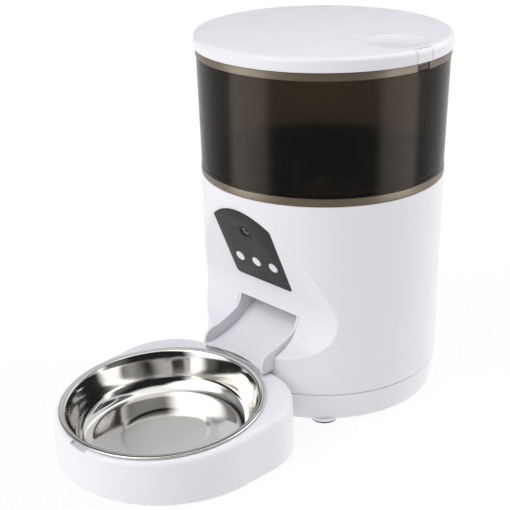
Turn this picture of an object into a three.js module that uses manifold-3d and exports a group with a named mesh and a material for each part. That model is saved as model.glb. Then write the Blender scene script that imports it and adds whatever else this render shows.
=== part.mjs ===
// Automatic pet feeder: a round white body with a smoky food hopper, a sloping front recess with a
// black control panel, a chute, and a tray that holds a steel bowl.
// Millimetres, Z up, front towards -Y. Dimensions are about the body's own axis; FRAME_SHIFT_Y puts
// the origin under the middle of the whole object.
import * as THREE from 'three';
import { mergeVertices } from 'three/addons/utils/BufferGeometryUtils.js';
import Module from 'manifold-3d';

const wasm = await Module();
wasm.setup();

// ---------------------------------------------------------------- driving dimensions
const GAP = 0.3;
const ROUND = 44;
const MEDIUM_ROUND = 32;
const SMALL_ROUND = 16;

const LID_RADIUS = 98.5;
const LID_BOTTOM = 278.5;
const LID_TOP = 288.5;
const LID_EDGE = 4;
const LID_WALL = 2.2;
const LID_PLUG_RADIUS = 92;
const LID_PLUG_DEPTH = 6;
const SCOOP = { x: 66, radius: 18, depth: 0.5 };
const LATCH = { half: 8.2, face: 95.8, pocket: 94.9, hookHalf: 6, hookLow: 5 };

const HOPPER_BOTTOM = 180.3;
const HOPPER_TOP = 278.2;
const HOPPER_BOTTOM_RADIUS = 94.4;
const HOPPER_TOP_RADIUS = 96.6;
const HOPPER_WALL = 2.2;
const HOPPER_BAND = 6;
const BAND_STEP = 0.5;
const FUNNEL_TOP_RADIUS = 86;
const FUNNEL_TOP = 182.5;
const COLLAR_RADIUS = 48.3;
const COLLAR_TOP = 156;
const COLLAR_BOTTOM = 151.5;

const BODY_TOP = 180;
const BODY_TOP_RADIUS = 94.8;
const SEAM_Z = 26.8;
const SEAM_RADIUS = 93.8;
const BODY_WALL = 2.5;

const BASE_BOTTOM = 4;
const BASE_RADIUS = 90.5;
const BASE_EDGE = 2;
const BASE_FLOOR = 2.5;

// The recess: a sloping face and a lower face at right angles, joined by a large fillet.
const SLOPE = THREE.MathUtils.degToRad(23.5);
const PANEL_Y = -72.74;
const PANEL_Z = 120;
const CORNER_BELOW = 54;
const FILLET = 28.8;
const RECESS_WALL = 3.2;

const PANEL_HALF = 30.2;
const PANEL_LOW = -20.8;
const PANEL_TOP = 52;
const PANEL_CORNER = 3.5;
const PANEL_THICK = 1.5;
const BUTTON_SPACING = 18.1;
const BUTTON_RADIUS = 4.3;
const LENS_UP = 30.3;
const MIC_UP = 12.4;
const LED_UP = -9.8;
const BOARD_DEPTH = 9;

const CHUTE_HALF = 30.9;
const CHUTE_WALL = 2.2;
const CHUTE_BOTTOM = 44.7;
const LIP_Z = 80.3;

const HOUSING_RADIUS = 52.2;
const HOUSING_WALL = 2.2;
const HOUSING_FLOOR = 117.5;
const DECK_Z = 148;
const DECK_THICK = 2.5;
const DECK_HOLE = 53;
const DECK_FRONT = -57;
const EAR_RING = 59;
const ROTOR_RADIUS = 48.6;
const ROTOR_BLADES = 6;
const ROTOR_LOW = 121;
const ROTOR_HIGH = 147.5;
const HUB_RADIUS = 8;
const BORE_RADIUS = 3.3;
const SHAFT_RADIUS = 3;
const GEARBOX_LOW = 92;
const MOTOR_Y = 28;

const SCREW_HEAD = 3.2;
const SCREW_SHANK = 1.4;
const SCREW_HOLE = 1.8;
const TONGUE = { x: 22, half: 6, low: 10, high: 13 };
const SPEAKER_Y = -50;
const CONTACT_LOW = 12;
const CONTACT_HIGH = 38;

const TRAY_HALF = 84;
const TRAY_FRONT_Y = -167.2;
const TRAY_REAR_Y = -138.5;
const TRAY_CORNER = 51;
const TRAY_BOTTOM = 1.6;
const TRAY_DRAFT = 3.6;
const TRAY_EDGE = 4.5;
const BOWL_Y = -171.5;
const BOWL_Z = 40.5;
const BOWL_RADIUS = 76.5;
const BOWL_TILT = THREE.MathUtils.degToRad(3.34);
const BOWL_DEPTH = 31;
const BOWL_SHEET = 1;
const BOWL_WALL_RADIUS = 71.6;
const BOWL_DRAFT = 2.5;
const DECK_DROP = 2.1;
const WELL_GAP = 0.9;
const BOWL_CURVE = 12;

const FOOT_RING = 80;
const POST_RING = 85.4;
const PAD_RADIUS = 10;
const PAD_TOP = 2.4;
const BAY = { half: 52.5, front: -26, back: 40, top: 42 };
const JACK_ANGLE = THREE.MathUtils.degToRad(140);
const JACK_Z = 45;

const FRAME_SHIFT_Y = (TRAY_HALF - TRAY_FRONT_Y - LID_RADIUS) / 2;

// ---------------------------------------------------------------- finishes
const finish = (color, roughness, metalness = 0) => ({ color, roughness, metalness });
const WHITE = finish(0xeef0f2, 0.3);
const WHITE_INNER = finish(0xe2e4e6, 0.45);
const SMOKE = finish(0x2a241d, 0.15);
const BLACK = finish(0x33343a, 0.35);
const LENS = finish(0x0c0d12, 0.05);
const RUBBER = finish(0x1b1b1c, 0.8);
const SILICONE = finish(0xc9ccd0, 0.6);
const STEEL = finish(0xc8c8c4, 0.1, 1);
const ZINC = finish(0xa9abb0, 0.35, 1);
const BOARD = finish(0x1f5a34, 0.5);
const LED = finish(0x5aa7d8, 0.3);

// ---------------------------------------------------------------- solids
function toSolid(geometry) {
  const bare = geometry.clone();
  bare.deleteAttribute('normal');
  bare.deleteAttribute('uv');
  const merged = mergeVertices(bare, 1e-4);
  const position = merged.attributes.position.array;
  const kept = [];
  for (let i = 0; i < merged.index.count; i += 3) {
    const [a, b, c] = [0, 1, 2].map((k) => merged.index.array[i + k]);
    if (a !== b && b !== c && c !== a) kept.push(a, b, c);
  }
  if (signedVolume(position, kept) < 0) kept.reverse();
  const mesh = new wasm.Mesh({
    numProp: 3,
    vertProperties: new Float32Array(position),
    triVerts: new Uint32Array(kept),
  });
  return new wasm.Manifold(mesh);
}

function signedVolume(position, index) {
  const corner = (k) => new THREE.Vector3().fromArray(position, 3 * k);
  let volume = 0;
  for (let i = 0; i < index.length; i += 3) {
    volume += corner(index[i]).dot(corner(index[i + 1]).cross(corner(index[i + 2])));
  }
  return volume;
}

function toGeometry(solid) {
  const mesh = solid.getMesh();
  const geometry = new THREE.BufferGeometry();
  const position = new THREE.BufferAttribute(new Float32Array(mesh.vertProperties), 3);
  geometry.setAttribute('position', position);
  geometry.setIndex(new THREE.BufferAttribute(new Uint32Array(mesh.triVerts), 1));
  const flat = geometry.toNonIndexed();
  flat.computeVertexNormals();
  return flat;
}

// A closed profile of [radius, height] turned about the vertical axis.
function revolve(profile, segments = ROUND) {
  const closed = profile[0][0] === 0 ? profile : [...profile, profile[0]];
  const points = closed.map(([radius, height]) => new THREE.Vector2(radius, height));
  return toSolid(new THREE.LatheGeometry(points, segments).rotateX(Math.PI / 2));
}

function cylinder(radius, low, high, x = 0, y = 0, segments = SMALL_ROUND, lowRadius = radius) {
  const geometry = new THREE.CylinderGeometry(radius, lowRadius, high - low, segments);
  return toSolid(geometry.rotateX(Math.PI / 2).translate(x, y, (low + high) / 2));
}

function box(x0, x1, y0, y1, z0, z1) {
  const geometry = new THREE.BoxGeometry(x1 - x0, y1 - y0, z1 - z0);
  return toSolid(geometry.translate((x0 + x1) / 2, (y0 + y1) / 2, (z0 + z1) / 2));
}

// An outline in the YZ plane, given width along X.
function slabAcross(points, half) {
  const shape = new THREE.Shape(points.map(([y, z]) => new THREE.Vector2(y, z)));
  const geometry = new THREE.ExtrudeGeometry(shape, { depth: 2 * half, bevelEnabled: false });
  const across = new THREE.Matrix4().makeBasis(
    new THREE.Vector3(0, 1, 0),
    new THREE.Vector3(0, 0, 1),
    new THREE.Vector3(1, 0, 0),
  );
  return toSolid(geometry.translate(0, 0, -half).applyMatrix4(across));
}

// Stacked closed rings with the same number of points, capped at both ends.
function loft(rings) {
  const count = rings[0].length;
  const position = rings.flat(2);
  const index = [];
  for (let level = 0; level + 1 < rings.length; level += 1) {
    for (let i = 0; i < count; i += 1) {
      const a = level * count + i;
      const b = level * count + ((i + 1) % count);
      index.push(a, b, b + count, a, b + count, a + count);
    }
  }
  const last = (rings.length - 1) * count;
  for (let i = 1; i + 1 < count; i += 1) {
    index.push(0, i + 1, i, last, last + i, last + i + 1);
  }
  const geometry = new THREE.BufferGeometry();
  geometry.setAttribute('position', new THREE.BufferAttribute(new Float32Array(position), 3));
  geometry.setIndex(index);
  return toSolid(geometry);
}

const arcPoints = (cy, cz, radius, from, to, steps) => Array.from({ length: steps + 1 }, (_, i) => {
  const angle = from + ((to - from) * i) / steps;
  return [cy + radius * Math.cos(angle), cz + radius * Math.sin(angle)];
});

// Placement on the sloping face: x across, u up the slope, n out of the face.
const slopeFrame = new THREE.Matrix4().makeBasis(
  new THREE.Vector3(1, 0, 0),
  new THREE.Vector3(0, -Math.sin(SLOPE), Math.cos(SLOPE)),
  new THREE.Vector3(0, -Math.cos(SLOPE), -Math.sin(SLOPE)),
).setPosition(0, PANEL_Y, PANEL_Z);

function plateOnSlope(shape, low, high) {
  const settings = { depth: high - low, bevelEnabled: false, curveSegments: 3 };
  const geometry = new THREE.ExtrudeGeometry(shape, settings);
  return toSolid(geometry.translate(0, 0, low).applyMatrix4(slopeFrame));
}

function discOnSlope(radius, x, u, low, high, segments = SMALL_ROUND) {
  const geometry = new THREE.CylinderGeometry(radius, radius, high - low, segments);
  geometry.rotateX(Math.PI / 2).translate(x, u, (low + high) / 2);
  return toSolid(geometry.applyMatrix4(slopeFrame));
}

function blockOnSlope(half, u0, u1, low, high) {
  const geometry = new THREE.BoxGeometry(2 * half, u1 - u0, high - low);
  return toSolid(geometry.translate(0, (u0 + u1) / 2, (low + high) / 2).applyMatrix4(slopeFrame));
}

// ---------------------------------------------------------------- the recess in the front
// Its side profile, moved into the body by `depth`.
function recessProfile(depth) {
  const down = [Math.sin(SLOPE), -Math.cos(SLOPE)];
  const out = [-Math.cos(SLOPE), -Math.sin(SLOPE)];
  const radius = FILLET + depth;
  const cornerY = PANEL_Y + down[0] * CORNER_BELOW;
  const cornerZ = PANEL_Z + down[1] * CORNER_BELOW;
  const centreY = cornerY + FILLET * (out[0] - down[0]);
  const centreZ = cornerZ + FILLET * (out[1] - down[1]);
  const start = Math.atan2(-out[1], -out[0]);
  const reach = 150;
  const arc = arcPoints(centreY, centreZ, radius, start, start - Math.PI / 2, 10);
  const top = [arc[0][0] - down[0] * reach, arc[0][1] - down[1] * reach];
  const low = [arc.at(-1)[0] + out[0] * reach, arc.at(-1)[1] + out[1] * reach];
  return [top, ...arc, low, [low[0] - reach, low[1]], [low[0] - reach, top[1]]];
}

const recess = (depth, half = 120) => slabAcross(recessProfile(depth), half);

function panelShape(inset) {
  const half = PANEL_HALF - inset;
  const low = PANEL_LOW + inset;
  const rise = (x) => (Math.sqrt(BODY_TOP_RADIUS ** 2 - x ** 2) + PANEL_Y) / Math.sin(SLOPE);
  const crown = (x) => rise(x) - rise(0) + PANEL_TOP - inset;
  const r = PANEL_CORNER;
  const shape = new THREE.Shape();
  shape.moveTo(-half + r, low);
  shape.lineTo(half - r, low);
  shape.quadraticCurveTo(half, low, half, low + r);
  shape.lineTo(half, crown(half) - 2 * r);
  shape.quadraticCurveTo(half, crown(half) - r / 2, half - r, crown(half - r));
  const steps = 8;
  for (let i = 1; i <= steps; i += 1) {
    const x = (half - r) * (1 - (2 * i) / steps);
    shape.lineTo(x, crown(x));
  }
  shape.quadraticCurveTo(-half, crown(half) - r / 2, -half, crown(half) - 2 * r);
  shape.lineTo(-half, low + r);
  shape.quadraticCurveTo(-half, low, -half + r, low);
  return shape;
}

const buttonPlaces = { button_left: -BUTTON_SPACING, button_centre: 0, button_right: BUTTON_SPACING };

// ---------------------------------------------------------------- body shell and base
const postPlaces = [60, 120, 240, 300].map((degrees) => {
  const angle = THREE.MathUtils.degToRad(degrees);
  return [POST_RING * Math.sin(angle), -POST_RING * Math.cos(angle)];
});

const footPlaces = [45, 135, 225, 315].map((degrees) => {
  const angle = THREE.MathUtils.degToRad(degrees);
  return [FOOT_RING * Math.sin(angle), -FOOT_RING * Math.cos(angle)];
});

const earPlaces = [[EAR_RING, 0], [-EAR_RING, 0], [0, EAR_RING]];

function jackDisc(radius, inner, outer, segments = SMALL_ROUND) {
  const geometry = new THREE.CylinderGeometry(radius, radius, outer - inner, segments);
  geometry.translate(0, (inner + outer) / 2, 0).rotateZ(Math.PI);
  return toSolid(geometry.rotateZ(JACK_ANGLE).translate(0, 0, JACK_Z));
}

function bodyShell() {
  const outer = revolve([[0, SEAM_Z], [SEAM_RADIUS, SEAM_Z], [BODY_TOP_RADIUS, BODY_TOP], [0, BODY_TOP]]);
  const inside = revolve([
    [0, SEAM_Z - 1],
    [SEAM_RADIUS - BODY_WALL, SEAM_Z - 1],
    [BODY_TOP_RADIUS - BODY_WALL, BODY_TOP + 1],
    [0, BODY_TOP + 1],
  ]).subtract(recess(RECESS_WALL));
  let shell = outer.subtract(recess(0)).subtract(inside);
  const deck = cylinder(BODY_TOP_RADIUS - 1, DECK_Z, DECK_Z + DECK_THICK, 0, 0, ROUND)
    .subtract(cylinder(DECK_HOLE, DECK_Z - 1, DECK_Z + DECK_THICK + 1, 0, 0, ROUND))
    .subtract(box(-120, 120, -120, DECK_FRONT, DECK_Z - 1, DECK_Z + DECK_THICK + 1));
  shell = shell.add(deck);
  for (const [x, y] of earPlaces) shell = shell.add(cylinder(4.5, DECK_Z - 9, DECK_Z + 1, x, y, 12));
  for (const [x, y] of earPlaces) {
    shell = shell.subtract(cylinder(SCREW_HOLE, DECK_Z - 8, DECK_Z + 5, x, y, 10));
  }
  for (const [x, y] of postPlaces) shell = shell.add(cylinder(6.5, SEAM_Z + 1, 60, x, y, 16));
  for (const [x, y] of postPlaces) shell = shell.subtract(cylinder(SCREW_HOLE, SEAM_Z, 50, x, y, 10));
  shell = shell.subtract(box(-CHUTE_HALF - CHUTE_WALL - GAP, CHUTE_HALF + CHUTE_WALL + GAP,
    -120, -45, CHUTE_BOTTOM - GAP, LIP_Z));
  shell = shell.subtract(plateOnSlope(panelShape(-GAP), -PANEL_THICK - GAP, 5));
  for (const x of Object.values(buttonPlaces)) {
    shell = shell.subtract(discOnSlope(BUTTON_RADIUS + 0.4, x, 0, -8, 2, 16));
  }
  shell = shell.subtract(discOnSlope(5.2, 0, LENS_UP, -8, 2, 16));
  shell = shell.subtract(discOnSlope(1.6, 0, MIC_UP, -8, 2, 10));
  shell = shell.subtract(discOnSlope(1.6, 0, LED_UP, -8, 2, 10));
  return shell.subtract(jackDisc(7.3, 80, 110));
}

function baseCover() {
  const high = SEAM_Z - GAP;
  const outer = revolve([
    [0, BASE_BOTTOM],
    [BASE_RADIUS - BASE_EDGE, BASE_BOTTOM],
    [BASE_RADIUS - BASE_EDGE * 0.3, BASE_BOTTOM + BASE_EDGE * 0.3],
    [BASE_RADIUS, BASE_BOTTOM + BASE_EDGE],
    [SEAM_RADIUS - 0.1, high],
    [0, high],
  ]);
  const inside = revolve([
    [0, BASE_BOTTOM + BASE_FLOOR],
    [BASE_RADIUS - BODY_WALL, BASE_BOTTOM + BASE_FLOOR],
    [SEAM_RADIUS - BODY_WALL, high + 1],
    [0, high + 1],
  ]);
  let base = outer.subtract(inside);
  for (const [x, y] of postPlaces) base = base.add(cylinder(4.2, BASE_BOTTOM + 1, SEAM_Z - 0.5, x, y, 12));
  const wall = 2;
  const bay = (margin, low, high) => box(-BAY.half - margin, BAY.half + margin,
    BAY.front - margin, BAY.back + margin, low, high);
  base = base.add(bay(wall, BASE_BOTTOM + 1, BAY.top + wall));
  base = base.subtract(bay(0, 0, BAY.top)).subtract(bay(1, 0, BASE_BOTTOM + 1.6));
  for (const [x, y] of footPlaces) {
    base = base.add(cylinder(PAD_RADIUS + 3, PAD_TOP + GAP, BASE_BOTTOM + 1, x, y, 24, PAD_RADIUS + 0.8));
  }
  for (const [x, y] of postPlaces) {
    base = base.subtract(cylinder(SCREW_HOLE, 0, SEAM_Z + 2, x, y, 10));
    base = base.subtract(cylinder(3.5, 0, BASE_BOTTOM + 3, x, y, 12));
  }
  for (let i = -2; i <= 2; i += 1) {
    const y = SPEAKER_Y + 5 * i;
    base = base.subtract(box(-10, 10, y - 1.2, y + 1.2, 0, BASE_BOTTOM + BASE_FLOOR + 1));
  }
  for (const side of [-1, 1]) {
    base = base.subtract(box(side * TONGUE.x - TONGUE.half - 0.6, side * TONGUE.x + TONGUE.half + 0.6,
      -97, -80, TONGUE.low - 0.6, TONGUE.high + 0.6));
  }
  return base;
}

function batteryCover() {
  const plate = box(-BAY.half - 0.7, BAY.half + 0.7, BAY.front - 0.7, BAY.back + 0.7,
    BASE_BOTTOM, BASE_BOTTOM + 1.3);
  const lip = box(-BAY.half + 0.4, BAY.half - 0.4, BAY.front + 0.4, BAY.back - 0.4,
    BASE_BOTTOM + 1, BASE_BOTTOM + 3);
  const grip = box(-12, 12, BAY.back - 9, BAY.back - 5, 0, BASE_BOTTOM + 0.8);
  return plate.add(lip).subtract(grip);
}

// ---------------------------------------------------------------- chute
// The channel falls at an angle from under the rotor, eases out and ends beside the bowl's rim.
function chuteFloor(drop) {
  const fall = [
    [-18, 86.5],
    [-46, 69.2],
    [-60.5, 60.6],
    [-70, 55.6],
    [-78, 52.7],
    [-88, 50.3],
    [-101, 49.2],
  ];
  return fall.map(([y, z]) => [y, z - drop]);
}

function chute() {
  const t = CHUTE_WALL;
  const noseY = -100.4;
  const outline = [
    [-18 + t, HOUSING_FLOOR - 0.5],
    [-18 + t, 86.5 - t],
    ...chuteFloor(t).slice(1, 4),
    [-74, CHUTE_BOTTOM],
    [noseY + 0.6, CHUTE_BOTTOM],
    ...arcPoints(noseY + 9, 51, 9, Math.PI * 1.02, Math.PI * 0.56, 6),
    [-64.8, 70],
    [-61.5, 76],
    [-57.2, LIP_Z],
    [-43.5 - t, 113],
    [-43.5 - t, HOUSING_FLOOR - 0.5],
  ];
  const channel = [
    [-18, HOUSING_FLOOR + 1],
    ...chuteFloor(0),
    [-120, 49],
    [-120, 100],
    [-66, 100],
    [-54.6, LIP_Z],
    [-43.5, 112],
    [-43.5, HOUSING_FLOOR + 1],
  ];
  const side = slabAcross(outline, CHUTE_HALF + t);
  const bowlSide = cylinder(BOWL_RADIUS + 0.9, 20, 80, 0, BOWL_Y, ROUND);
  const hollow = box(-CHUTE_HALF, CHUTE_HALF, -110, -76, CHUTE_BOTTOM - 1, 47.4);
  return side.subtract(slabAcross(channel, CHUTE_HALF)).subtract(bowlSide).subtract(hollow);
}

// ---------------------------------------------------------------- rotor and drive
function rotorHousing() {
  const top = DECK_Z + DECK_THICK + GAP + 2.2;
  let housing = revolve([
    [0, HOUSING_FLOOR],
    [HOUSING_RADIUS, HOUSING_FLOOR],
    [HOUSING_RADIUS, top - 2.2],
    [56.5, top - 2.2],
    [56.5, top],
    [HOUSING_RADIUS - HOUSING_WALL, top],
    [HOUSING_RADIUS - HOUSING_WALL, HOUSING_FLOOR + 2.5],
    [0, HOUSING_FLOOR + 2.5],
  ]);
  for (const [x, y] of earPlaces) {
    housing = housing.add(cylinder(6, top - 2.2, top, x * 0.97, y * 0.97, 16));
  }
  const inside = cylinder(HOUSING_RADIUS - HOUSING_WALL, HOUSING_FLOOR + 2.5, top + 1, 0, 0, ROUND);
  housing = housing.subtract(inside);
  for (const [x, y] of earPlaces) {
    housing = housing.subtract(cylinder(SCREW_HOLE, top - 5, top + 2, x, y, 10));
  }
  housing = housing.subtract(box(-28, 28, -41, -19, HOUSING_FLOOR - 1, HOUSING_FLOOR + 4));
  return housing.subtract(cylinder(3.6, HOUSING_FLOOR - 1, HOUSING_FLOOR + 4, 0, 0, 16));
}

function rotorBlades() {
  let blades = cylinder(12, ROTOR_LOW, ROTOR_HIGH, 0, 0, 24);
  for (let i = 0; i < ROTOR_BLADES; i += 1) {
    const turn = 30 + (360 / ROTOR_BLADES) * i;
    blades = blades.add(box(-1.5, 1.5, 10, ROTOR_RADIUS, ROTOR_LOW, ROTOR_HIGH).rotate([0, 0, turn]));
  }
  return blades.subtract(cylinder(HUB_RADIUS + GAP, ROTOR_LOW - 1, ROTOR_HIGH + 1, 0, 0, 24));
}

function rotorHub() {
  const core = cylinder(HUB_RADIUS, ROTOR_LOW, ROTOR_HIGH + 0.5, 0, 0, 24);
  return core.subtract(cylinder(BORE_RADIUS, ROTOR_LOW - 1, ROTOR_HIGH + 2, 0, 0, 16));
}

function agitator() {
  let stirrer = cylinder(6, 150.8, 168, 0, 0, 20, 10);
  stirrer = stirrer.add(box(-30, 30, -2.2, 2.2, 157, 161));
  for (const x of [-28, 28]) stirrer = stirrer.add(cylinder(2, 158, 174, x, 0, 10));
  return stirrer.subtract(cylinder(BORE_RADIUS, 150, 158, 0, 0, 16));
}

function gearbox() {
  let block = box(-21, 21, -13, 44, GEARBOX_LOW, HOUSING_FLOOR - GAP);
  block = block.subtract(cylinder(BORE_RADIUS + 0.1, 112, 120, 0, 0, 16));
  for (const x of [-17, 17]) block = block.subtract(cylinder(SCREW_HOLE, 90, 120, x, 40, 10));
  return block;
}

function motor() {
  const can = cylinder(12.5, 62, GEARBOX_LOW - GAP, 0, MOTOR_Y, 28);
  return can.add(cylinder(4, 59, 63, 0, MOTOR_Y, 16));
}

// ---------------------------------------------------------------- hopper and lid
function hopper() {
  const wall = HOPPER_WALL;
  const top = HOPPER_TOP_RADIUS;
  const low = HOPPER_BOTTOM_RADIUS;
  const profile = [
    [COLLAR_RADIUS - wall, COLLAR_BOTTOM],
    [COLLAR_RADIUS, COLLAR_BOTTOM],
    [COLLAR_RADIUS, COLLAR_TOP],
    [FUNNEL_TOP_RADIUS - 1, 177.8],
    [89.6, 177.8],
    [89.6, 175],
    [91.6, 175],
    [91.6, HOPPER_BOTTOM],
    [low + BAND_STEP, HOPPER_BOTTOM],
    [low + BAND_STEP, HOPPER_BOTTOM + HOPPER_BAND - 0.6],
    [low + 0.1, HOPPER_BOTTOM + HOPPER_BAND],
    [top - 0.15, HOPPER_TOP - HOPPER_BAND],
    [top + BAND_STEP, HOPPER_TOP - HOPPER_BAND + 0.5],
    [top + BAND_STEP, HOPPER_TOP],
    [top - wall, HOPPER_TOP],
    [low - wall, HOPPER_BOTTOM + 8],
    [low - wall - 2.2, HOPPER_BOTTOM + 4.2],
    [FUNNEL_TOP_RADIUS, FUNNEL_TOP],
    [COLLAR_RADIUS - wall, COLLAR_TOP + 1.6],
  ];
  const side = LATCH.hookHalf + 0.6;
  const notch = box(90, 100, -side, side, HOPPER_TOP - LATCH.hookLow - 0.8, HOPPER_TOP + 1);
  return revolve(profile).subtract(notch);
}

function lidOuter() {
  const edge = arcPoints(LID_RADIUS - LID_EDGE, LID_TOP - LID_EDGE, LID_EDGE, 0, Math.PI / 2, 3);
  return revolve([
    [0, LID_BOTTOM],
    [LID_RADIUS - 0.4, LID_BOTTOM],
    [LID_RADIUS, LID_BOTTOM + 0.6],
    ...edge,
    [0, LID_TOP],
  ]);
}

const latchPocket = (side, inner) => box(inner, 120, -side, side, 200, 400);

// A shallow disc-shaped dip, deepest towards the latch and level with the top on its inner side.
function thumbScoop() {
  const tilt = THREE.MathUtils.radToDeg(Math.atan2(SCOOP.depth / 2, SCOOP.radius));
  return cylinder(SCOOP.radius, 0, 6, 0, 0, MEDIUM_ROUND)
    .rotate([0, tilt, 0])
    .translate([SCOOP.x, 0, LID_TOP - SCOOP.depth / 2]);
}

function lid() {
  const under = LID_TOP - 2.4;
  const hollow = revolve([
    [0, LID_BOTTOM - 1],
    [LID_RADIUS - LID_WALL, LID_BOTTOM - 1],
    [LID_RADIUS - LID_WALL, under - 2],
    [LID_RADIUS - LID_WALL - 2, under],
    [0, under],
  ]);
  let cap = lidOuter().subtract(hollow);
  const plugLow = LID_BOTTOM - LID_PLUG_DEPTH;
  const plug = revolve([
    [LID_PLUG_RADIUS - 2, plugLow],
    [LID_PLUG_RADIUS, plugLow],
    [LID_PLUG_RADIUS, plugLow + 1.2],
    [LID_PLUG_RADIUS - 0.8, plugLow + 1.5],
    [LID_PLUG_RADIUS - 0.8, plugLow + 4.2],
    [LID_PLUG_RADIUS, plugLow + 4.5],
    [LID_PLUG_RADIUS, under + 0.5],
    [LID_PLUG_RADIUS - 2, under + 0.5],
  ]);
  cap = cap.add(plug).subtract(latchPocket(LATCH.half + GAP, LATCH.pocket));
  return cap.subtract(thumbScoop());
}

function lidSeal() {
  const plugLow = LID_BOTTOM - LID_PLUG_DEPTH;
  return revolve([
    [LID_PLUG_RADIUS - 0.5, plugLow + 1.8],
    [LID_PLUG_RADIUS + 1, plugLow + 2],
    [LID_PLUG_RADIUS + 1.8, plugLow + 2.9],
    [LID_PLUG_RADIUS + 1, plugLow + 3.7],
    [LID_PLUG_RADIUS - 0.5, plugLow + 3.9],
  ]);
}

function lidLatch() {
  const face = lidOuter().intersect(box(LATCH.face, 120, -LATCH.half, LATCH.half, LID_BOTTOM - 1, 400));
  const hook = box(LATCH.face, LATCH.face + 1.1, -LATCH.hookHalf, LATCH.hookHalf,
    HOPPER_TOP - LATCH.hookLow, LID_BOTTOM + 1);
  return face.add(hook);
}

function desiccantCup() {
  const top = LID_TOP - 2.4 - GAP;
  const low = top - 18;
  let cup = cylinder(30, low, top, 0, 0, 40).subtract(cylinder(28, low + 2, top + 1, 0, 0, 40));
  for (let i = -3; i <= 3; i += 1) {
    cup = cup.subtract(box(6 * i - 1, 6 * i + 1, -18, 18, low - 1, low + 4));
  }
  return cup.add(box(-1.2, 1.2, -20, 20, low - 4, low + 0.6));
}

// ---------------------------------------------------------------- tray and bowl
// The tray's plan: a half circle in front, straight sides and two wide rear corners.
function trayOutline(inset) {
  const front = TRAY_HALF - inset;
  const corner = TRAY_CORNER - inset;
  const cornerX = TRAY_HALF - TRAY_CORNER;
  const sweep = (cx, cy, radius, from, to, steps) => Array.from({ length: steps }, (_, i) => {
    const angle = from + ((to - from) * i) / (steps - 1);
    return [cx + radius * Math.cos(angle), cy + radius * Math.sin(angle)];
  });
  return [
    ...sweep(0, TRAY_FRONT_Y, front, -Math.PI, 0, 25),
    ...sweep(cornerX, TRAY_REAR_Y, corner, 0, Math.PI / 2, 9),
    ...sweep(-cornerX, TRAY_REAR_Y, corner, Math.PI / 2, Math.PI, 9),
  ];
}

// The curve between the bowl's wall and its bottom, from the wall down.
const bowlFoot = (radius) => arcPoints(
  BOWL_WALL_RADIUS - BOWL_DRAFT - BOWL_CURVE,
  BOWL_CURVE - BOWL_DEPTH,
  radius,
  0,
  -Math.PI / 2,
  4,
);

const deckHeight = (y) => BOWL_Z - DECK_DROP + (y - BOWL_Y) * Math.tan(BOWL_TILT);

function tray() {
  const rings = [];
  rings.push(trayOutline(0.9).map(([x, y]) => [x, y, TRAY_BOTTOM]));
  rings.push(trayOutline(0).map(([x, y]) => [x, y, TRAY_BOTTOM + 1.2]));
  const draft = TRAY_DRAFT - TRAY_EDGE * 0.55;
  for (let i = 0; i <= 3; i += 1) {
    const angle = (i / 3) * (Math.PI / 2);
    const inset = draft + TRAY_EDGE * (1 - Math.cos(angle));
    const drop = TRAY_EDGE * (1 - Math.sin(angle));
    rings.push(trayOutline(inset).map(([x, y]) => [x, y, deckHeight(y) - drop]));
  }
  let solid = loft(rings);
  const foot = bowlFoot(BOWL_CURVE + WELL_GAP).reverse();
  const well = revolve([
    [0, foot[0][1]],
    ...foot,
    [BOWL_WALL_RADIUS + WELL_GAP, -3],
    [BOWL_WALL_RADIUS + WELL_GAP, 20],
    [0, 20],
  ], MEDIUM_ROUND);
  const tilt = THREE.MathUtils.radToDeg(BOWL_TILT);
  solid = solid.subtract(well.rotate([tilt, 0, 0]).translate([0, BOWL_Y, BOWL_Z]));
  solid = solid.subtract(cylinder(BODY_TOP_RADIUS + 0.2, 0, 70, 0, 0, ROUND));
  const notch = slabAcross([[-256, 29], [-246, 29], [-241, 33], [-241, 60], [-256, 60]], 10);
  solid = solid.subtract(notch);
  for (const side of [-1, 1]) {
    solid = solid.add(box(side * TONGUE.x - TONGUE.half, side * TONGUE.x + TONGUE.half,
      -99, -84, TONGUE.low, TONGUE.high));
  }
  return solid;
}

function bowl() {
  const sheet = BOWL_SHEET;
  const profile = [
    [0, -BOWL_DEPTH],
    ...bowlFoot(BOWL_CURVE).reverse(),
    [BOWL_WALL_RADIUS - 0.4, -3],
    [BOWL_WALL_RADIUS + 1.2, -sheet],
    [BOWL_RADIUS - 0.8, -sheet],
    [BOWL_RADIUS - 0.8, -1.7],
    [BOWL_RADIUS, -1.6],
    [BOWL_RADIUS, -0.3],
    [BOWL_RADIUS - 0.6, 0.1],
    [BOWL_WALL_RADIUS + 0.6, 0],
    [BOWL_WALL_RADIUS - 1.4, -2.6],
    ...bowlFoot(BOWL_CURVE - sheet),
    [0, -BOWL_DEPTH + sheet],
  ];
  const tilt = THREE.MathUtils.radToDeg(BOWL_TILT);
  return revolve(profile, MEDIUM_ROUND).rotate([tilt, 0, 0]).translate([0, BOWL_Y, BOWL_Z]);
}

// ---------------------------------------------------------------- assembly
const feeder = new THREE.Group();
feeder.name = 'pet_feeder';

function place(name, solid, look) {
  const geometry = toGeometry(solid).translate(0, FRAME_SHIFT_Y, 0);
  const mesh = new THREE.Mesh(geometry, new THREE.MeshStandardMaterial({ name, ...look }));
  mesh.name = name;
  feeder.add(mesh);
}

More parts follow.
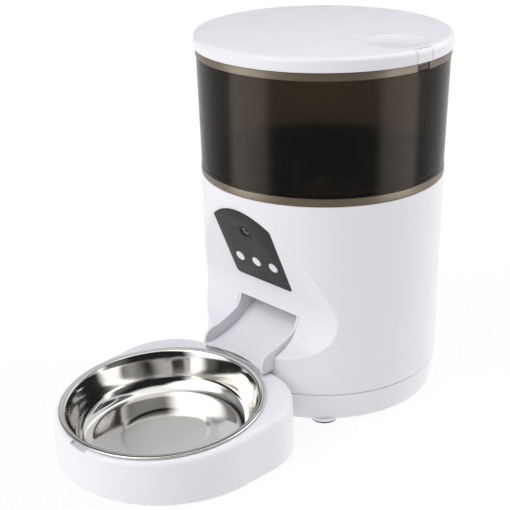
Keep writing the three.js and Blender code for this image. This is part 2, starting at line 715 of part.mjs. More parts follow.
function placeBase() {
  place('base_cover', baseCover(), WHITE);
  place('battery_cover', batteryCover(), WHITE_INNER);
  const plate = (low, high) => box(-50, 50, low, high, CONTACT_LOW, CONTACT_HIGH);
  place('contact_plate_front', plate(BAY.front + 0.3, BAY.front + 0.8), ZINC);
  place('contact_plate_back', plate(BAY.back - 0.8, BAY.back - 0.3), ZINC);
  const springs = ['contact_spring_left', 'contact_spring_centre', 'contact_spring_right'];
  springs.forEach((name, i) => {
    const cone = new THREE.CylinderGeometry(2.5, 5.5, 3.5, 14);
    place(name, toSolid(cone.translate(34.5 * (i - 1), BAY.front + 2.9, 24.5)), ZINC);
  });
  footPlaces.forEach(([x, y], i) => {
    place(`foot_pad_${i + 1}`, cylinder(PAD_RADIUS, 0, PAD_TOP, x, y, 28), RUBBER);
  });
  const basket = cylinder(18, 7, 9, 0, SPEAKER_Y, 32);
  place('speaker', basket.add(cylinder(9, 8, 15, 0, SPEAKER_Y, 24)), BLACK);
  postPlaces.forEach(([x, y], i) => {
    const head = cylinder(SCREW_HEAD, 4.3, 6.6, x, y, 14);
    place(`base_screw_${i + 1}`, head.add(cylinder(SCREW_SHANK, 6, 46, x, y, 8)), ZINC);
  });
}

function placeBody() {
  place('body_shell', bodyShell(), WHITE);
  let panel = plateOnSlope(panelShape(0), -PANEL_THICK, 0.1);
  for (const x of Object.values(buttonPlaces)) {
    panel = panel.subtract(discOnSlope(BUTTON_RADIUS + GAP, x, 0, -4, 2));
  }
  panel = panel.subtract(discOnSlope(6.1, 0, LENS_UP, -4, 2));
  panel = panel.subtract(discOnSlope(0.7, 0, MIC_UP, -4, 2, 10));
  panel = panel.subtract(discOnSlope(0.9, 0, LED_UP, -4, 2, 10));
  place('control_panel', panel, BLACK);
  const bezel = discOnSlope(5.8, 0, LENS_UP, -1.5, 0.4, 28);
  place('camera_ring', bezel.subtract(discOnSlope(4.3, 0, LENS_UP, -3, 2, 28)), BLACK);
  place('camera_lens', discOnSlope(4, 0, LENS_UP, -3, -0.1, 24), LENS);
  place('camera_module', blockOnSlope(6, LENS_UP - 6, LENS_UP + 6, -BOARD_DEPTH + GAP, -3.6), BLACK);
  for (const [name, x] of Object.entries(buttonPlaces)) {
    const cap = discOnSlope(BUTTON_RADIUS, x, 0, -2.4, 0.5).add(discOnSlope(2, x, 0, -6.4, -2, 12));
    place(name, cap, WHITE);
    const pad = name.replace('button', 'switch');
    place(pad, discOnSlope(2.6, x, 0, -BOARD_DEPTH + GAP, -7.2, 12), BLACK);
  }
  place('status_led', discOnSlope(0.6, 0, LED_UP, -BOARD_DEPTH + GAP, -0.1, 10), LED);
  place('microphone', discOnSlope(2.2, 0, MIC_UP, -BOARD_DEPTH + GAP, -6, 14), ZINC);
  place('control_board', blockOnSlope(26, -16, 37, -BOARD_DEPTH - 1.6, -BOARD_DEPTH), BOARD);
  const socket = jackDisc(6.6, 82, 92.2, 28).add(jackDisc(5, 78, 83, 20));
  place('dc_jack', socket.subtract(jackDisc(3.2, 84, 95, 20)).add(jackDisc(1, 83, 90, 8)), BLACK);
}

function placeDrive() {
  place('chute', chute(), WHITE);
  place('rotor_housing', rotorHousing(), WHITE_INNER);
  earPlaces.forEach(([x, y], i) => {
    const top = DECK_Z + DECK_THICK + GAP + 2.2;
    const head = cylinder(SCREW_HEAD, top + GAP, top + 2.4, x, y, 14);
    const shank = cylinder(SCREW_SHANK, DECK_Z - 6, top + 1, x, y, 8);
    place(`housing_screw_${i + 1}`, head.add(shank), ZINC);
  });
  place('rotor_blades', rotorBlades(), SILICONE);
  place('rotor_hub', rotorHub(), WHITE_INNER);
  place('rotor_shaft', cylinder(SHAFT_RADIUS, 112.4, 157, 0, 0, 16), STEEL);
  place('agitator', agitator(), WHITE_INNER);
  place('gearbox', gearbox(), BLACK);
  place('motor', motor(), ZINC);
}

function placeTop() {
  place('hopper', hopper(), SMOKE);
  place('lid', lid(), WHITE);
  place('lid_seal', lidSeal(), SILICONE);
  place('lid_latch', lidLatch(), WHITE);
  place('desiccant_cup', desiccantCup(), WHITE_INNER);
}

function placeTray() {
  place('tray', tray(), WHITE);
  place('bowl', bowl(), STEEL);
  const pads = [[-52, -212], [52, -212], [-58, -128], [58, -128]];
  pads.forEach(([x, y], i) => {
    place(`tray_pad_${i + 1}`, cylinder(7, 0, TRAY_BOTTOM - GAP, x, y, 24), RUBBER);
  });
}

placeBase();
placeBody();
placeDrive();
placeTop();
placeTray();

export default feeder;
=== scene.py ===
# Automatic pet feeder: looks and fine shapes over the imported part.
# Shapes are worked out in millimetres about the body's own axis, front towards -Y, and moved to the
# row frame in metres when their mesh is made.
import math

import bpy
import numpy as np
from mathutils import Matrix, Vector


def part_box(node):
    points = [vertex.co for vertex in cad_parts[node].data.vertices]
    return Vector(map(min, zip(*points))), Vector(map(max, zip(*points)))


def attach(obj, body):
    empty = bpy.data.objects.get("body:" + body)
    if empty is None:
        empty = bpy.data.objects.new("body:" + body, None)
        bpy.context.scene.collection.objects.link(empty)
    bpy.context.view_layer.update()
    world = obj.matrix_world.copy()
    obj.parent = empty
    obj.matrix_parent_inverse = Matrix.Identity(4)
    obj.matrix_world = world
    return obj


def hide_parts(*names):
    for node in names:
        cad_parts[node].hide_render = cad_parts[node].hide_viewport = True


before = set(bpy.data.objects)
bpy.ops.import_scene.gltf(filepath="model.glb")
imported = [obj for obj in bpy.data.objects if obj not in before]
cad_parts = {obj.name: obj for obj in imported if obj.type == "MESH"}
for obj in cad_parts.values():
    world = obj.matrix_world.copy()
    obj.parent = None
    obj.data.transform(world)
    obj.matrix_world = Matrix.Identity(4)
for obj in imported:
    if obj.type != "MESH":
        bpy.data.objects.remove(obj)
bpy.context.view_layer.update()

MM = 0.001
LOW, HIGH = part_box("hopper")
AXIS_Y = (LOW.y + HIGH.y) / 2

# ---------------------------------------------------------------- dimensions, millimetres
# Segments in a full turn.
ROUND, FINE_ROUND, SMALL_ROUND, BOWL_ROUND, THREAD_ROUND = 256, 96, 40, 320, 20
# Angle in degrees above which an edge stays sharp.
SHARP = 32

LID_RADIUS, LID_BOTTOM, LID_TOP, LID_EDGE, LID_WALL = 98.5, 278.5, 288.5, 4.0, 2.2
PLUG_R, PLUG_LOW = 92.0, 272.5
SCOOP_X, SCOOP_Y, SCOOP_R, SCOOP_DEPTH, SCOOP_TURN = 68.0, 6.0, 23.0, 0.3, math.radians(35)
LATCH_HALF, LATCH_GAP, LATCH_FACE, LATCH_POCKET, HOOK_HALF, HOOK_DROP = 8.2, 0.55, 95.8, 94.9, 6.0, 5.0
HOPPER_LOW, HOPPER_HIGH, HOPPER_LOW_R, HOPPER_HIGH_R, HOPPER_WALL = 180.3, 278.2, 94.4, 96.6, 2.2
# Heights of the hopper's two stepped rims, and how far they stand out.
BAND_LOW, BAND_HIGH, BAND_STEP = 5.6, 5.5, 0.5
BODY_TOP, BODY_TOP_R, SEAM_Z, SEAM_R, BODY_WALL = 180.0, 94.8, 26.8, 93.8, 2.5
BASE_LOW, BASE_R, BASE_FLOOR = 4.0, 90.5, 2.5
SHELL_EDGE = 0.8

SLOPE = math.radians(23.5)
PANEL_Y, PANEL_Z = -72.74, 120.0
CORNER_BELOW, FILLET = 54.0, 28.8
EDGE_BLEND = 1.4
PANEL_HALF, PANEL_LOW, PANEL_TOP, PANEL_CORNER = 30.2, -20.8, 52.0, 3.5
BUTTONS = {"button_left": -18.1, "button_centre": 0.0, "button_right": 18.1}
BUTTON_R = 4.3
LENS_UP, MIC_UP, LED_UP = 30.3, 12.4, -9.8

CHUTE_HALF, CHUTE_WALL, CHUTE_LOW, LIP_Z = 30.9, 2.2, 44.7, 80.3
WINDOW_HALF, WINDOW_LOW = CHUTE_HALF + CHUTE_WALL + 0.3, CHUTE_LOW - 0.3

TRAY_HALF, TRAY_FRONT_Y, TRAY_REAR_Y, TRAY_CORNER = 84.0, -167.2, -138.5, 51.0
TRAY_LOW, TRAY_DRAFT, TRAY_EDGE = 1.6, 3.6, 4.5
BOWL_Y, BOWL_Z, BOWL_R, BOWL_TILT = -171.5, 40.5, 76.5, math.radians(3.34)
BOWL_DEPTH, BOWL_WALL_R, BOWL_DRAFT, BOWL_CURVE, BOWL_SHEET = 31.0, 71.6, 3.8, 14.0, 1.0
BOWL_LEAN = math.radians(14)
DECK_DROP, WELL_GAP = 2.1, 0.9

FOOT_RING, POST_RING, PAD_R, PAD_TOP, SCREW_HOLE_R = 80.0, 85.4, 10.0, 1.7, 1.8
BAY_HALF, BAY_FRONT, BAY_BACK, BAY_TOP = 52.5, -26.0, 40.0, 42.0
JACK_ANGLE, JACK_Z, JACK_HOLE_R = math.radians(140), 45.0, 7.3
HOUSING_R, HOUSING_FLOOR, DECK_Z, DECK_THICK = 52.2, 117.5, 148.0, 2.5
EARS = [(59.0, 0.0), (-59.0, 0.0), (0.0, 59.0)]
PI = math.pi


# ---------------------------------------------------------------- meshes
def to_row(points):
    """Millimetres about the body's axis to metres in the row frame."""
    p = np.asarray(points, float) * MM
    p[:, 1] += AXIS_Y
    return p


def soften(mesh, sharp):
    """Smooth shading, apart from edges bent by more than `sharp` degrees."""
    mesh.polygons.foreach_set("use_smooth", np.ones(len(mesh.polygons), bool))
    mesh.set_sharp_from_angle(angle=math.radians(sharp))


def make_mesh(name, points, faces, sharp=SHARP):
    mesh = bpy.data.meshes.new(name)
    mesh.from_pydata([tuple(p) for p in to_row(points)], [], [tuple(f) for f in faces])
    mesh.validate()
    mesh.update()
    soften(mesh, sharp)
    piece = bpy.data.objects.new(name, mesh)
    bpy.context.scene.collection.objects.link(piece)
    return piece


def joined(*parts):
    """Several (points, faces) as one."""
    points, faces, shift = [], [], 0
    for p, f in parts:
        points.append(np.asarray(p, float))
        faces += [[i + shift for i in face] for face in f]
        shift += len(p)
    return np.vstack(points), faces


def rounded(corners, steps=6):
    """A polyline of (a, b) or (a, b, radius) corners with its corners rounded to those radii."""
    out = []
    count = len(corners)
    for i, corner in enumerate(corners):
        radius = corner[2] if len(corner) > 2 else 0
        here = np.array(corner[:2], float)
        if radius <= 0:
            out.append(tuple(here))
            continue
        before = np.array(corners[i - 1][:2], float) - here
        after = np.array(corners[(i + 1) % count][:2], float) - here
        before /= np.linalg.norm(before)
        after /= np.linalg.norm(after)
        half = math.acos(max(-1, min(1, before @ after))) / 2
        start, end = here + before * radius / math.tan(half), here + after * radius / math.tan(half)
        middle = here + (before + after) / np.linalg.norm(before + after) * radius / math.sin(half)
        a0 = math.atan2(*(start - middle)[::-1])
        turn = math.atan2(*(end - middle)[::-1]) - a0
        turn = (turn + PI) % (2 * PI) - PI
        for k in range(steps + 1):
            a = a0 + turn * k / steps
            out.append((middle[0] + radius * math.cos(a), middle[1] + radius * math.sin(a)))
    return out


def lathe(profile, segments=ROUND, x=0.0, y=0.0):
    """A closed profile of (radius, height) turned about a vertical axis. Points on the axis are shared."""
    angle = np.arange(segments) * 2 * PI / segments
    points, rings = [], []
    for radius, height in profile:
        if radius < 1e-6:
            rings.append([len(points)])
            points.append((x, y, height))
        else:
            rings.append(list(range(len(points), len(points) + segments)))
            points += [(x + radius * math.cos(a), y + radius * math.sin(a), height) for a in angle]
    faces = []
    on_axis = len(rings[0]) == 1 and len(rings[-1]) == 1
    for i in range(len(rings) - on_axis):
        a, b = rings[i], rings[(i + 1) % len(rings)]
        for k in range(segments):
            n = (k + 1) % segments
            if len(a) == 1 and len(b) == 1:
                continue
            if len(a) == 1:
                faces.append([a[0], b[n], b[k]])
            elif len(b) == 1:
                faces.append([a[k], a[n], b[0]])
            else:
                faces.append([a[k], a[n], b[n], b[k]])
    return np.array(points, float), outward(np.array(points, float), faces)


def outward(points, faces):
    """Faces turned so that a closed body's faces point out."""
    volume = 0.0
    for f in faces:
        for k in range(1, len(f) - 1):
            volume += points[f[0]] @ np.cross(points[f[k]], points[f[k + 1]])
    return faces if volume > 0 else [f[::-1] for f in faces]


def stack(rings):
    """Rings with the same number of points, skinned one to the next and capped."""
    count = len(rings[0])
    points = np.array([p for ring in rings for p in ring], float)
    faces = []
    for level in range(len(rings) - 1):
        for i in range(count):
            a, b = level * count + i, level * count + (i + 1) % count
            faces.append([a, b, b + count, a + count])
    last = (len(rings) - 1) * count
    faces.append(list(range(count))[::-1])
    faces.append(list(range(last, last + count)))
    return points, outward(points, faces)


def rod(radius, low, high, x=0.0, y=0.0, edge=0.3, segments=SMALL_ROUND, low_radius=None):
    """A short upright cylinder or cone with softened edges."""
    foot = radius if low_radius is None else low_radius
    return lathe(rounded([(0, low), (foot, low, edge), (radius, high, edge), (0, high)], 3), segments, x, y)


def block(x0, x1, y0, y1, z0, z1):
    ring = [(x0, y0), (x1, y0), (x1, y1), (x0, y1)]
    return stack([[(x, y, z) for x, y in ring] for z in (z0, z1)])


def soft_block(x0, x1, y0, y1, z0, z1, corner=1.0, edge=0.4):
    """An upright block with rounded corners and softened top and bottom edges."""
    def ring(inset):
        left, right, front, back = x0 + inset, x1 - inset, y0 + inset, y1 - inset
        box = [(left, front), (right, front), (right, back), (left, back)]
        return rounded([(*p, max(corner - inset, 0.05)) for p in box], 4)

    levels = [(edge, z0), (edge * 0.3, z0 + edge * 0.3), (0, z0 + edge), (0, z1 - edge),
              (edge * 0.3, z1 - edge * 0.3), (edge, z1)]
    return stack([[(x, y, z) for x, y in ring(inset)] for inset, z in levels])


def across(outline, half):
    """An outline in the YZ plane given width along X, to `half` on each side of the middle."""
    return stack([[(x, y, z) for y, z in outline] for x in (-half, half)])


def arc(across_centre, up_centre, radius, start, end, steps):
    """Points along an arc, from one angle to another."""
    angle = np.linspace(start, end, steps + 1)
    return [(across_centre + radius * math.cos(a), up_centre + radius * math.sin(a)) for a in angle]


def turned(shape, matrix):
    points, faces = shape
    moved = np.array([matrix @ Vector(p) for p in points])
    return moved, outward(moved, faces)


# Placement on the sloping face: x across, y up the slope, z out of the face.
ON_SLOPE = Matrix((
    (1, 0, 0, 0),
    (0, -math.sin(SLOPE), -math.cos(SLOPE), PANEL_Y),
    (0, math.cos(SLOPE), -math.sin(SLOPE), PANEL_Z),
    (0, 0, 0, 1),
))
# Placement at the power inlet: z out of the wall at the back.
AT_JACK = (
    Matrix.Translation((0, 0, JACK_Z))
    @ Matrix.Rotation(JACK_ANGLE, 4, "Z")
    @ Matrix.Rotation(PI / 2, 4, "X")
)
ON_BOWL = Matrix.Translation((0, BOWL_Y, BOWL_Z)) @ Matrix.Rotation(BOWL_TILT, 4, "X")


def cut(piece, tools, operation="DIFFERENCE", sharp=SHARP):
    """The piece after a boolean with each tool, as a new mesh on the same object."""
    for i, (points, faces) in enumerate(tools):
        tool = make_mesh(f"tool_{i}", points, faces)
        change = piece.modifiers.new("cut", "BOOLEAN")
        change.operation, change.object, change.solver = operation, tool, "EXACT"
        graph = bpy.context.evaluated_depsgraph_get()
        made = bpy.data.meshes.new_from_object(piece.evaluated_get(graph))
        piece.modifiers.clear()
        piece.data = made
        bpy.data.objects.remove(tool)
    soften(piece.data, sharp)
    return piece


# ---------------------------------------------------------------- materials
class Nodes:
    """Small helper that lays out a material's nodes."""

    def __init__(self, tree):
        self.tree = tree

    def add(self, kind, **values):
        node = self.tree.nodes.new(kind)
        for key, value in values.items():
            if hasattr(node, key):
                setattr(node, key, value)
            else:
                node.inputs[key.replace("_", " ")].default_value = value
        return node

    def link(self, a, b):
        self.tree.links.new(a, b)

    def noise(self, scale, detail=3.0, stretch=(1, 1, 1)):
        """Noise over the object's own coordinates, in metres."""
        where = self.add("ShaderNodeTexCoord")
        fit = self.add("ShaderNodeMapping")
        fit.inputs["Scale"].default_value = stretch
        self.link(where.outputs["Object"], fit.inputs["Vector"])
        node = self.add("ShaderNodeTexNoise", Scale=scale, Detail=detail)
        self.link(fit.outputs["Vector"], node.inputs["Vector"])
        return node.outputs["Fac"]

    def spread(self, source, low, high, start=0.3, end=0.7, **options):
        """Values of the source from start to end, mapped to low to high."""
        node = self.add("ShaderNodeMapRange", **options)
        for key, value in (("From Min", start), ("From Max", end), ("To Min", low), ("To Max", high)):
            node.inputs[key].default_value = value
        self.link(source, node.inputs["Value"])
        return node.outputs["Result"]

    def blend(self, factor, one, two):
        """A mix of two colours."""
        node = self.add("ShaderNodeMix", data_type="RGBA")
        self.link(factor, node.inputs[0])
        node.inputs[6].default_value = (*one, 1)
        node.inputs[7].default_value = (*two, 1)
        return node.outputs[2]

    def math(self, operation, first, second):
        """A Math node. The first value is a number or an output, and the second is an output."""
        node = self.add("ShaderNodeMath", operation=operation)
        if hasattr(first, "links"):
            self.link(first, node.inputs[0])
        else:
            node.inputs[0].default_value = first
        self.link(second, node.inputs[1])
        return node.outputs[0]


def shade(name, color, tone, rough, texture, relief, rounding=0.4, stretch=(1, 1, 1), **fixed):
    """A Principled surface: colour drifting between two tones, roughness between two values, fine relief
    in millimetres, and edges that catch the light as if rounded to `rounding` millimetres."""
    material = bpy.data.materials.new(f"look_{name}")
    material.use_nodes = True
    tree = material.node_tree
    tree.nodes.clear()
    n = Nodes(tree)
    surface = n.add("ShaderNodeBsdfPrincipled")
    for key, value in fixed.items():
        surface.inputs[key.replace("_", " ")].default_value = value
    out = n.add("ShaderNodeOutputMaterial")
    n.link(surface.outputs["BSDF"], out.inputs["Surface"])
    drift = n.spread(n.noise(14.0, 4.0), 0.0, 1.0)
    n.link(n.blend(drift, color, tone), surface.inputs["Base Color"])
    n.link(n.spread(n.noise(55.0, 5.0, stretch), *rough), surface.inputs["Roughness"])
    soft = n.add("ShaderNodeBevel", samples=4, Radius=rounding * MM)
    bump = n.add("ShaderNodeBump", Strength=1.0, Distance=relief * MM)
    n.link(n.noise(texture, 3.0, stretch), bump.inputs["Height"])
    n.link(soft.outputs["Normal"], bump.inputs["Normal"])
    n.link(bump.outputs["Normal"], surface.inputs["Normal"])
    return material


def tan_with_painted_light(n):
    """The thicker, stepped rims of the smoky plastic, which read as opaque tan. The tan is partly the plastic's
    own tint and partly painted light, the glow of light passing through the thick rims.
    """
    tan = n.add("ShaderNodeBsdfPrincipled", Transmission_Weight=0.2)
    # Base colour: two tans, partly the plastic's tint and partly painted light passing through the rims.
    n.link(n.blend(n.spread(n.noise(30.0, 4.0), 0.0, 1.0), (0.088, 0.069, 0.038), (0.074, 0.057, 0.031)),
           tan.inputs["Base Color"])
    n.link(n.spread(n.noise(80.0, 4.0), 0.29, 0.4), tan.inputs["Roughness"])
    return tan


def rim_material():
    material = bpy.data.materials.new("look_smoke_rim")
    material.use_nodes = True
    material.node_tree.nodes.clear()
    n = Nodes(material.node_tree)
    n.link(tan_with_painted_light(n).outputs[0], n.add("ShaderNodeOutputMaterial").inputs["Surface"])
    return material


def smoke_material():
    """Smoky brown plastic that darkens with the thickness that light crosses, with tan rims whose colour is
    partly painted light passing through them.
    """
    material = shade("smoke", (0.62, 0.54, 0.43), (0.56, 0.48, 0.38), (0.19, 0.25), 12.0, 0.02, 0.3,
                     IOR=1.18, Transmission_Weight=1.0)
    n = Nodes(material.node_tree)
    clear = next(x for x in material.node_tree.nodes if x.type == "BSDF_PRINCIPLED")
    out = next(x for x in material.node_tree.nodes if x.type == "OUTPUT_MATERIAL")
    body = n.add("ShaderNodeVolumeAbsorption", Color=(0.17, 0.13, 0.07, 1), Density=700.0)
    n.link(body.outputs[0], out.inputs["Volume"])
    where = n.add("ShaderNodeTexCoord")
    split = n.add("ShaderNodeSeparateXYZ")
    n.link(where.outputs["Object"], split.inputs[0])
    height = split.outputs["Z"]
    band_top, band_foot = HOPPER_LOW + BAND_LOW, HOPPER_HIGH - BAND_HIGH
    low = n.spread(height, 1.0, 0.0, band_top * MM, (band_top + 0.5) * MM)
    under = n.spread(height, 0.0, 1.0, (HOPPER_LOW - 0.5) * MM, (HOPPER_LOW - 0.3) * MM)
    high = n.spread(height, 0.0, 1.0, (band_foot - 0.5) * MM, band_foot * MM)
    # The rim bands take the tan surface, whose colour is partly painted light.
    mixed = n.add("ShaderNodeMixShader")
    n.link(n.math("MAXIMUM", n.math("MULTIPLY", low, under), high), mixed.inputs[0])
    n.link(clear.outputs[0], mixed.inputs[1])
    n.link(tan_with_painted_light(n).outputs[0], mixed.inputs[2])
    n.link(mixed.outputs[0], out.inputs["Surface"])
    return material


RIM_MATERIAL = rim_material()
LOOKS = [
    shade("white_gloss", (0.86, 0.855, 0.89), (0.85, 0.845, 0.88), (0.29, 0.37), 18.0, 0.02, 0.5),
    shade("white_satin", (0.78, 0.79, 0.8), (0.74, 0.75, 0.77), (0.38, 0.5), 1200.0, 0.03, 0.4),
    smoke_material(),
    shade("black_gloss", (0.034, 0.034, 0.035), (0.027, 0.027, 0.028), (0.42, 0.52), 60.0, 0.01, 0.3,
          IOR=1.3),
    shade("black_plastic", (0.035, 0.035, 0.037), (0.025, 0.025, 0.027), (0.4, 0.55), 1400.0, 0.04),
    shade("lens_glass", (0.012, 0.012, 0.016), (0.02, 0.016, 0.024), (0.02, 0.05), 40.0, 0.002, 0.1,
          Coat_Weight=1.0, Coat_Roughness=0.02),
    shade("led_blue", (0.2, 0.42, 0.65), (0.25, 0.5, 0.72), (0.12, 0.24), 800.0, 0.02, 0.1),
    shade("rubber_black", (0.018, 0.018, 0.018), (0.03, 0.029, 0.028), (0.7, 0.9), 1800.0, 0.08),
    shade("silicone", (0.6, 0.61, 0.62), (0.55, 0.56, 0.57), (0.45, 0.62), 1000.0, 0.04, 0.5,
          Subsurface_Weight=0.2, Subsurface_Scale=0.002),
    shade("steel_polished", (0.78, 0.765, 0.73), (0.7, 0.69, 0.66), (0.05, 0.11), 30.0, 0.006, 0.2,
          Metallic=1.0),
    shade("steel_shaft", (0.55, 0.55, 0.56), (0.48, 0.48, 0.49), (0.28, 0.4), 700.0, 0.03,
          stretch=(1, 1, 14), Metallic=1.0),
    shade("zinc", (0.6, 0.61, 0.62), (0.52, 0.53, 0.55), (0.28, 0.45), 900.0, 0.03, Metallic=1.0),
    shade("board_green", (0.02, 0.13, 0.05), (0.03, 0.17, 0.07), (0.3, 0.45), 600.0, 0.05),
]
MATERIALS = {look.name.removeprefix("look_"): look for look in LOOKS}


def fit(piece, body, slot, *stands_for):
    """Finish a piece: its material, the body it moves with and the CAD nodes it stands for."""
    piece.data.materials.clear()
    piece.data.materials.append(MATERIALS[slot])
    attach(piece, body)
    if stands_for:
        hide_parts(*stands_for)
    return piece


def build(name, body, slot, shape, stands_for=(), sharp=SHARP):
    return fit(make_mesh(name, *shape, sharp), body, slot, *stands_for)


# ---------------------------------------------------------------- body shell
def recess_depth(z):
    """Distance of the recess surface in front of the axis at height z, measured along -Y."""
    down, out = (math.sin(SLOPE), -math.cos(SLOPE)), (-math.cos(SLOPE), -math.sin(SLOPE))
    corner = (PANEL_Y + down[0] * CORNER_BELOW, PANEL_Z + down[1] * CORNER_BELOW)
    centre = (corner[0] + FILLET * (out[0] - down[0]), corner[1] + FILLET * (out[1] - down[1]))
    top, low = centre[1] - FILLET * out[1], centre[1] + FILLET * down[1]
    slope = -(PANEL_Y - (z - PANEL_Z) * math.tan(SLOPE))
    curve = -(centre[0] + np.sqrt(np.clip(FILLET**2 - (z - centre[1]) ** 2, 0, None)))
    shelf = -(corner[0] + (z - corner[1]) / math.tan(SLOPE))
    return np.where(z > top, slope, np.where(z > low, curve, shelf))


def shell_radius(psi, z):
    """Outer radius of the shell at angle psi from the front, with the recess blended in."""
    drum = SEAM_R + (BODY_TOP_R - SEAM_R) * (z - SEAM_Z) / (BODY_TOP - SEAM_Z)
    facing = np.maximum(np.cos(psi), 0.05)
    carved = recess_depth(z) / facing
    near = np.maximum(EDGE_BLEND - np.abs(drum - carved), 0) / EDGE_BLEND
    return np.minimum(drum, carved) - near**2 * EDGE_BLEND / 4


def shell_rows():
    """Heights of the shell's rows, closer together where the recess surface lies flat."""
    parts = [(SEAM_Z + SHELL_EDGE, WINDOW_LOW, 6), (WINDOW_LOW, 49.0, 4), (49.0, 60.0, 34), (60.0, 68.0, 12),
             (68.0, LIP_Z, 12), (LIP_Z, 172.0, 66), (172.0, BODY_TOP - SHELL_EDGE, 5)]
    rows = [SEAM_Z, SEAM_Z + 0.12, SEAM_Z + 0.4]
    for low, high, count in parts:
        rows += list(np.linspace(low, high, count, endpoint=False))
    return np.array(rows + [BODY_TOP - SHELL_EDGE, BODY_TOP - 0.4, BODY_TOP - 0.12, BODY_TOP])


def window_angle(z):
    """Angle at which the shell's surface is WINDOW_HALF to the side, found by halving."""
    low, high = np.zeros_like(z), np.full_like(z, 1.2)
    for _ in range(40):
        middle = (low + high) / 2
        inside = shell_radius(middle, z) * np.sin(middle) < WINDOW_HALF
        low, high = np.where(inside, middle, low), np.where(inside, high, middle)
    return (low + high) / 2


def body_shell():
    """The shell's columns are counted 0 to 1 over half the window, to 2 over the recess and to 3 over
    the plain back, and mirrored. It has no faces in the window, where the chute comes out."""
    z = shell_rows()
    edge = window_angle(z)
    steps = np.concatenate([np.linspace(0, 1, 22, endpoint=False), np.linspace(1, 2, 72, endpoint=False),
                            np.linspace(2, 3, 70)])
    steps = np.concatenate([-steps[:0:-1], steps[:-1]])
    limit = math.radians(57)
    rank = np.abs(steps)[None, :]
    front = edge[:, None] * rank
    middle = edge[:, None] + (limit - edge[:, None]) * (rank - 1)
    back = limit + (PI - limit) * (rank - 2)
    psi = np.sign(steps)[None, :] * np.where(rank <= 1, front, np.where(rank <= 2, middle, back))
    height = np.repeat(z[:, None], len(steps), 1)
    radius = shell_radius(psi, height)
    over_rim = np.maximum(height - (BODY_TOP - SHELL_EDGE), 0) + np.maximum(SEAM_Z + SHELL_EDGE - height, 0)
    radius -= SHELL_EDGE * (1 - np.sqrt(np.clip(1 - (over_rim / SHELL_EDGE) ** 2, 0, 1)))
    points = np.stack([radius * np.sin(psi), -radius * np.cos(psi), height], -1).reshape(-1, 3)
    count = len(steps)
    faces = []
    for row in range(len(z) - 1):
        in_window = WINDOW_LOW - 0.01 <= z[row] < LIP_Z - 0.01
        for k in range(count):
            n = (k + 1) % count
            if in_window and abs(steps[k]) <= 1 and abs(steps[n]) <= 1:
                continue
            faces.append([row * count + k, row * count + n, (row + 1) * count + n, (row + 1) * count + k])
    shell = make_mesh("shell", points, faces)
    wall = shell.modifiers.new("wall", "SOLIDIFY")
    wall.thickness, wall.offset, wall.use_even_offset = BODY_WALL * MM, -1.0, True
    graph = bpy.context.evaluated_depsgraph_get()
    shell.data = bpy.data.meshes.new_from_object(shell.evaluated_get(graph))
    shell.modifiers.clear()
    pocket = turned(panel_plate(-0.3, -1.8, 6.0, 0.01), ON_SLOPE)
    hole = turned(rod(JACK_HOLE_R, 80, 110, edge=0.01, segments=FINE_ROUND), AT_JACK)
    cut(shell, [pocket, hole], sharp=40)
    return fit(shell, "body", "white_gloss", "body_shell")


def shell_deck():
    """The ledge inside the shell that the rotor housing is screwed to, with its screw bosses."""
    ring = lathe(rounded([(53, DECK_Z, 0.3), (92.2, DECK_Z), (92.2, DECK_Z + DECK_THICK),
                          (53, DECK_Z + DECK_THICK, 0.3)], 3), FINE_ROUND)
    deck = make_mesh("shell_deck", *ring)
    cut(deck, [block(-120, 120, -120, -57, DECK_Z - 1, DECK_Z + DECK_THICK + 1)])
    cut(deck, [rod(4.5, DECK_Z - 9, DECK_Z + 1, x, y) for x, y in EARS], "UNION")
    cut(deck, [rod(SCREW_HOLE_R, DECK_Z - 8, DECK_Z + 5, x, y, 0.05) for x, y in EARS])
    return fit(deck, "body", "white_gloss", "body_shell")


def at_angles(radius, degrees):
    """Places on a circle, at degrees round from the front."""
    return [(radius * math.sin(math.radians(d)), -radius * math.cos(math.radians(d))) for d in degrees]


POSTS = at_angles(POST_RING, (60, 120, 240, 300))
FEET = at_angles(FOOT_RING, (45, 135, 225, 315))


def shell_posts():
    low, high, hole = SEAM_Z + 1, 60, SCREW_HOLE_R
    tube = rounded([(hole, low), (5.6, low, 0.5), (5.0, high, 0.8), (hole, high)], 4)
    tubes = []
    for x, y in POSTS:
        tubes.append(lathe(tube, SMALL_ROUND, x, y))
    return build("shell_posts", "body", "white_gloss", joined(*tubes), ["body_shell"])


# ---------------------------------------------------------------- control panel
def panel_outline(inset):
    """The panel's outline on the slope. Its upper edge follows the shell's round rim."""
    half, low, r = PANEL_HALF - inset, PANEL_LOW + inset, PANEL_CORNER

    def crown(x):
        rise = (math.sqrt(BODY_TOP_R**2 - x**2) - BODY_TOP_R) / math.sin(SLOPE)
        return rise + PANEL_TOP - inset

    steps = 24
    top = [(half * (1 - 2 * i / steps), crown(half * (1 - 2 * i / steps))) for i in range(1, steps)]
    corners = [(-half, low, r), (half, low, r), (half, crown(half), r), *top, (-half, crown(half), r)]
    clear = [c for c in corners if len(c) > 2 or abs(c[0]) < half - 2.0]
    return rounded(clear, 8)


def panel_plate(inset, low, high, edge):
    levels = [(0, low), (0, high - edge), (edge * 0.3, high - edge * 0.3), (edge, high)]
    return stack([[(x, y, z) for x, y in panel_outline(inset + more)] for more, z in levels])


def slope_disc(radius, x, up, low, high, edge=0.15, segments=SMALL_ROUND):
    return turned(rod(radius, low, high, x, up, edge, segments), ON_SLOPE)


def control_panel():
    panel = make_mesh("panel", *turned(panel_plate(0.0, -1.5, 0.15, 0.3), ON_SLOPE))
    holes = [slope_disc(BUTTON_R + 0.3, x, 0, -4, 2, 0.01, FINE_ROUND) for x in BUTTONS.values()]
    holes.append(slope_disc(6.1, 0, LENS_UP, -4, 2, 0.01, FINE_ROUND))
    holes.append(slope_disc(0.7, 0, MIC_UP, -4, 2, 0.01))
    holes.append(slope_disc(0.9, 0, LED_UP, -4, 2, 0.01))
    return fit(cut(panel, holes), "body", "black_gloss", "control_panel")


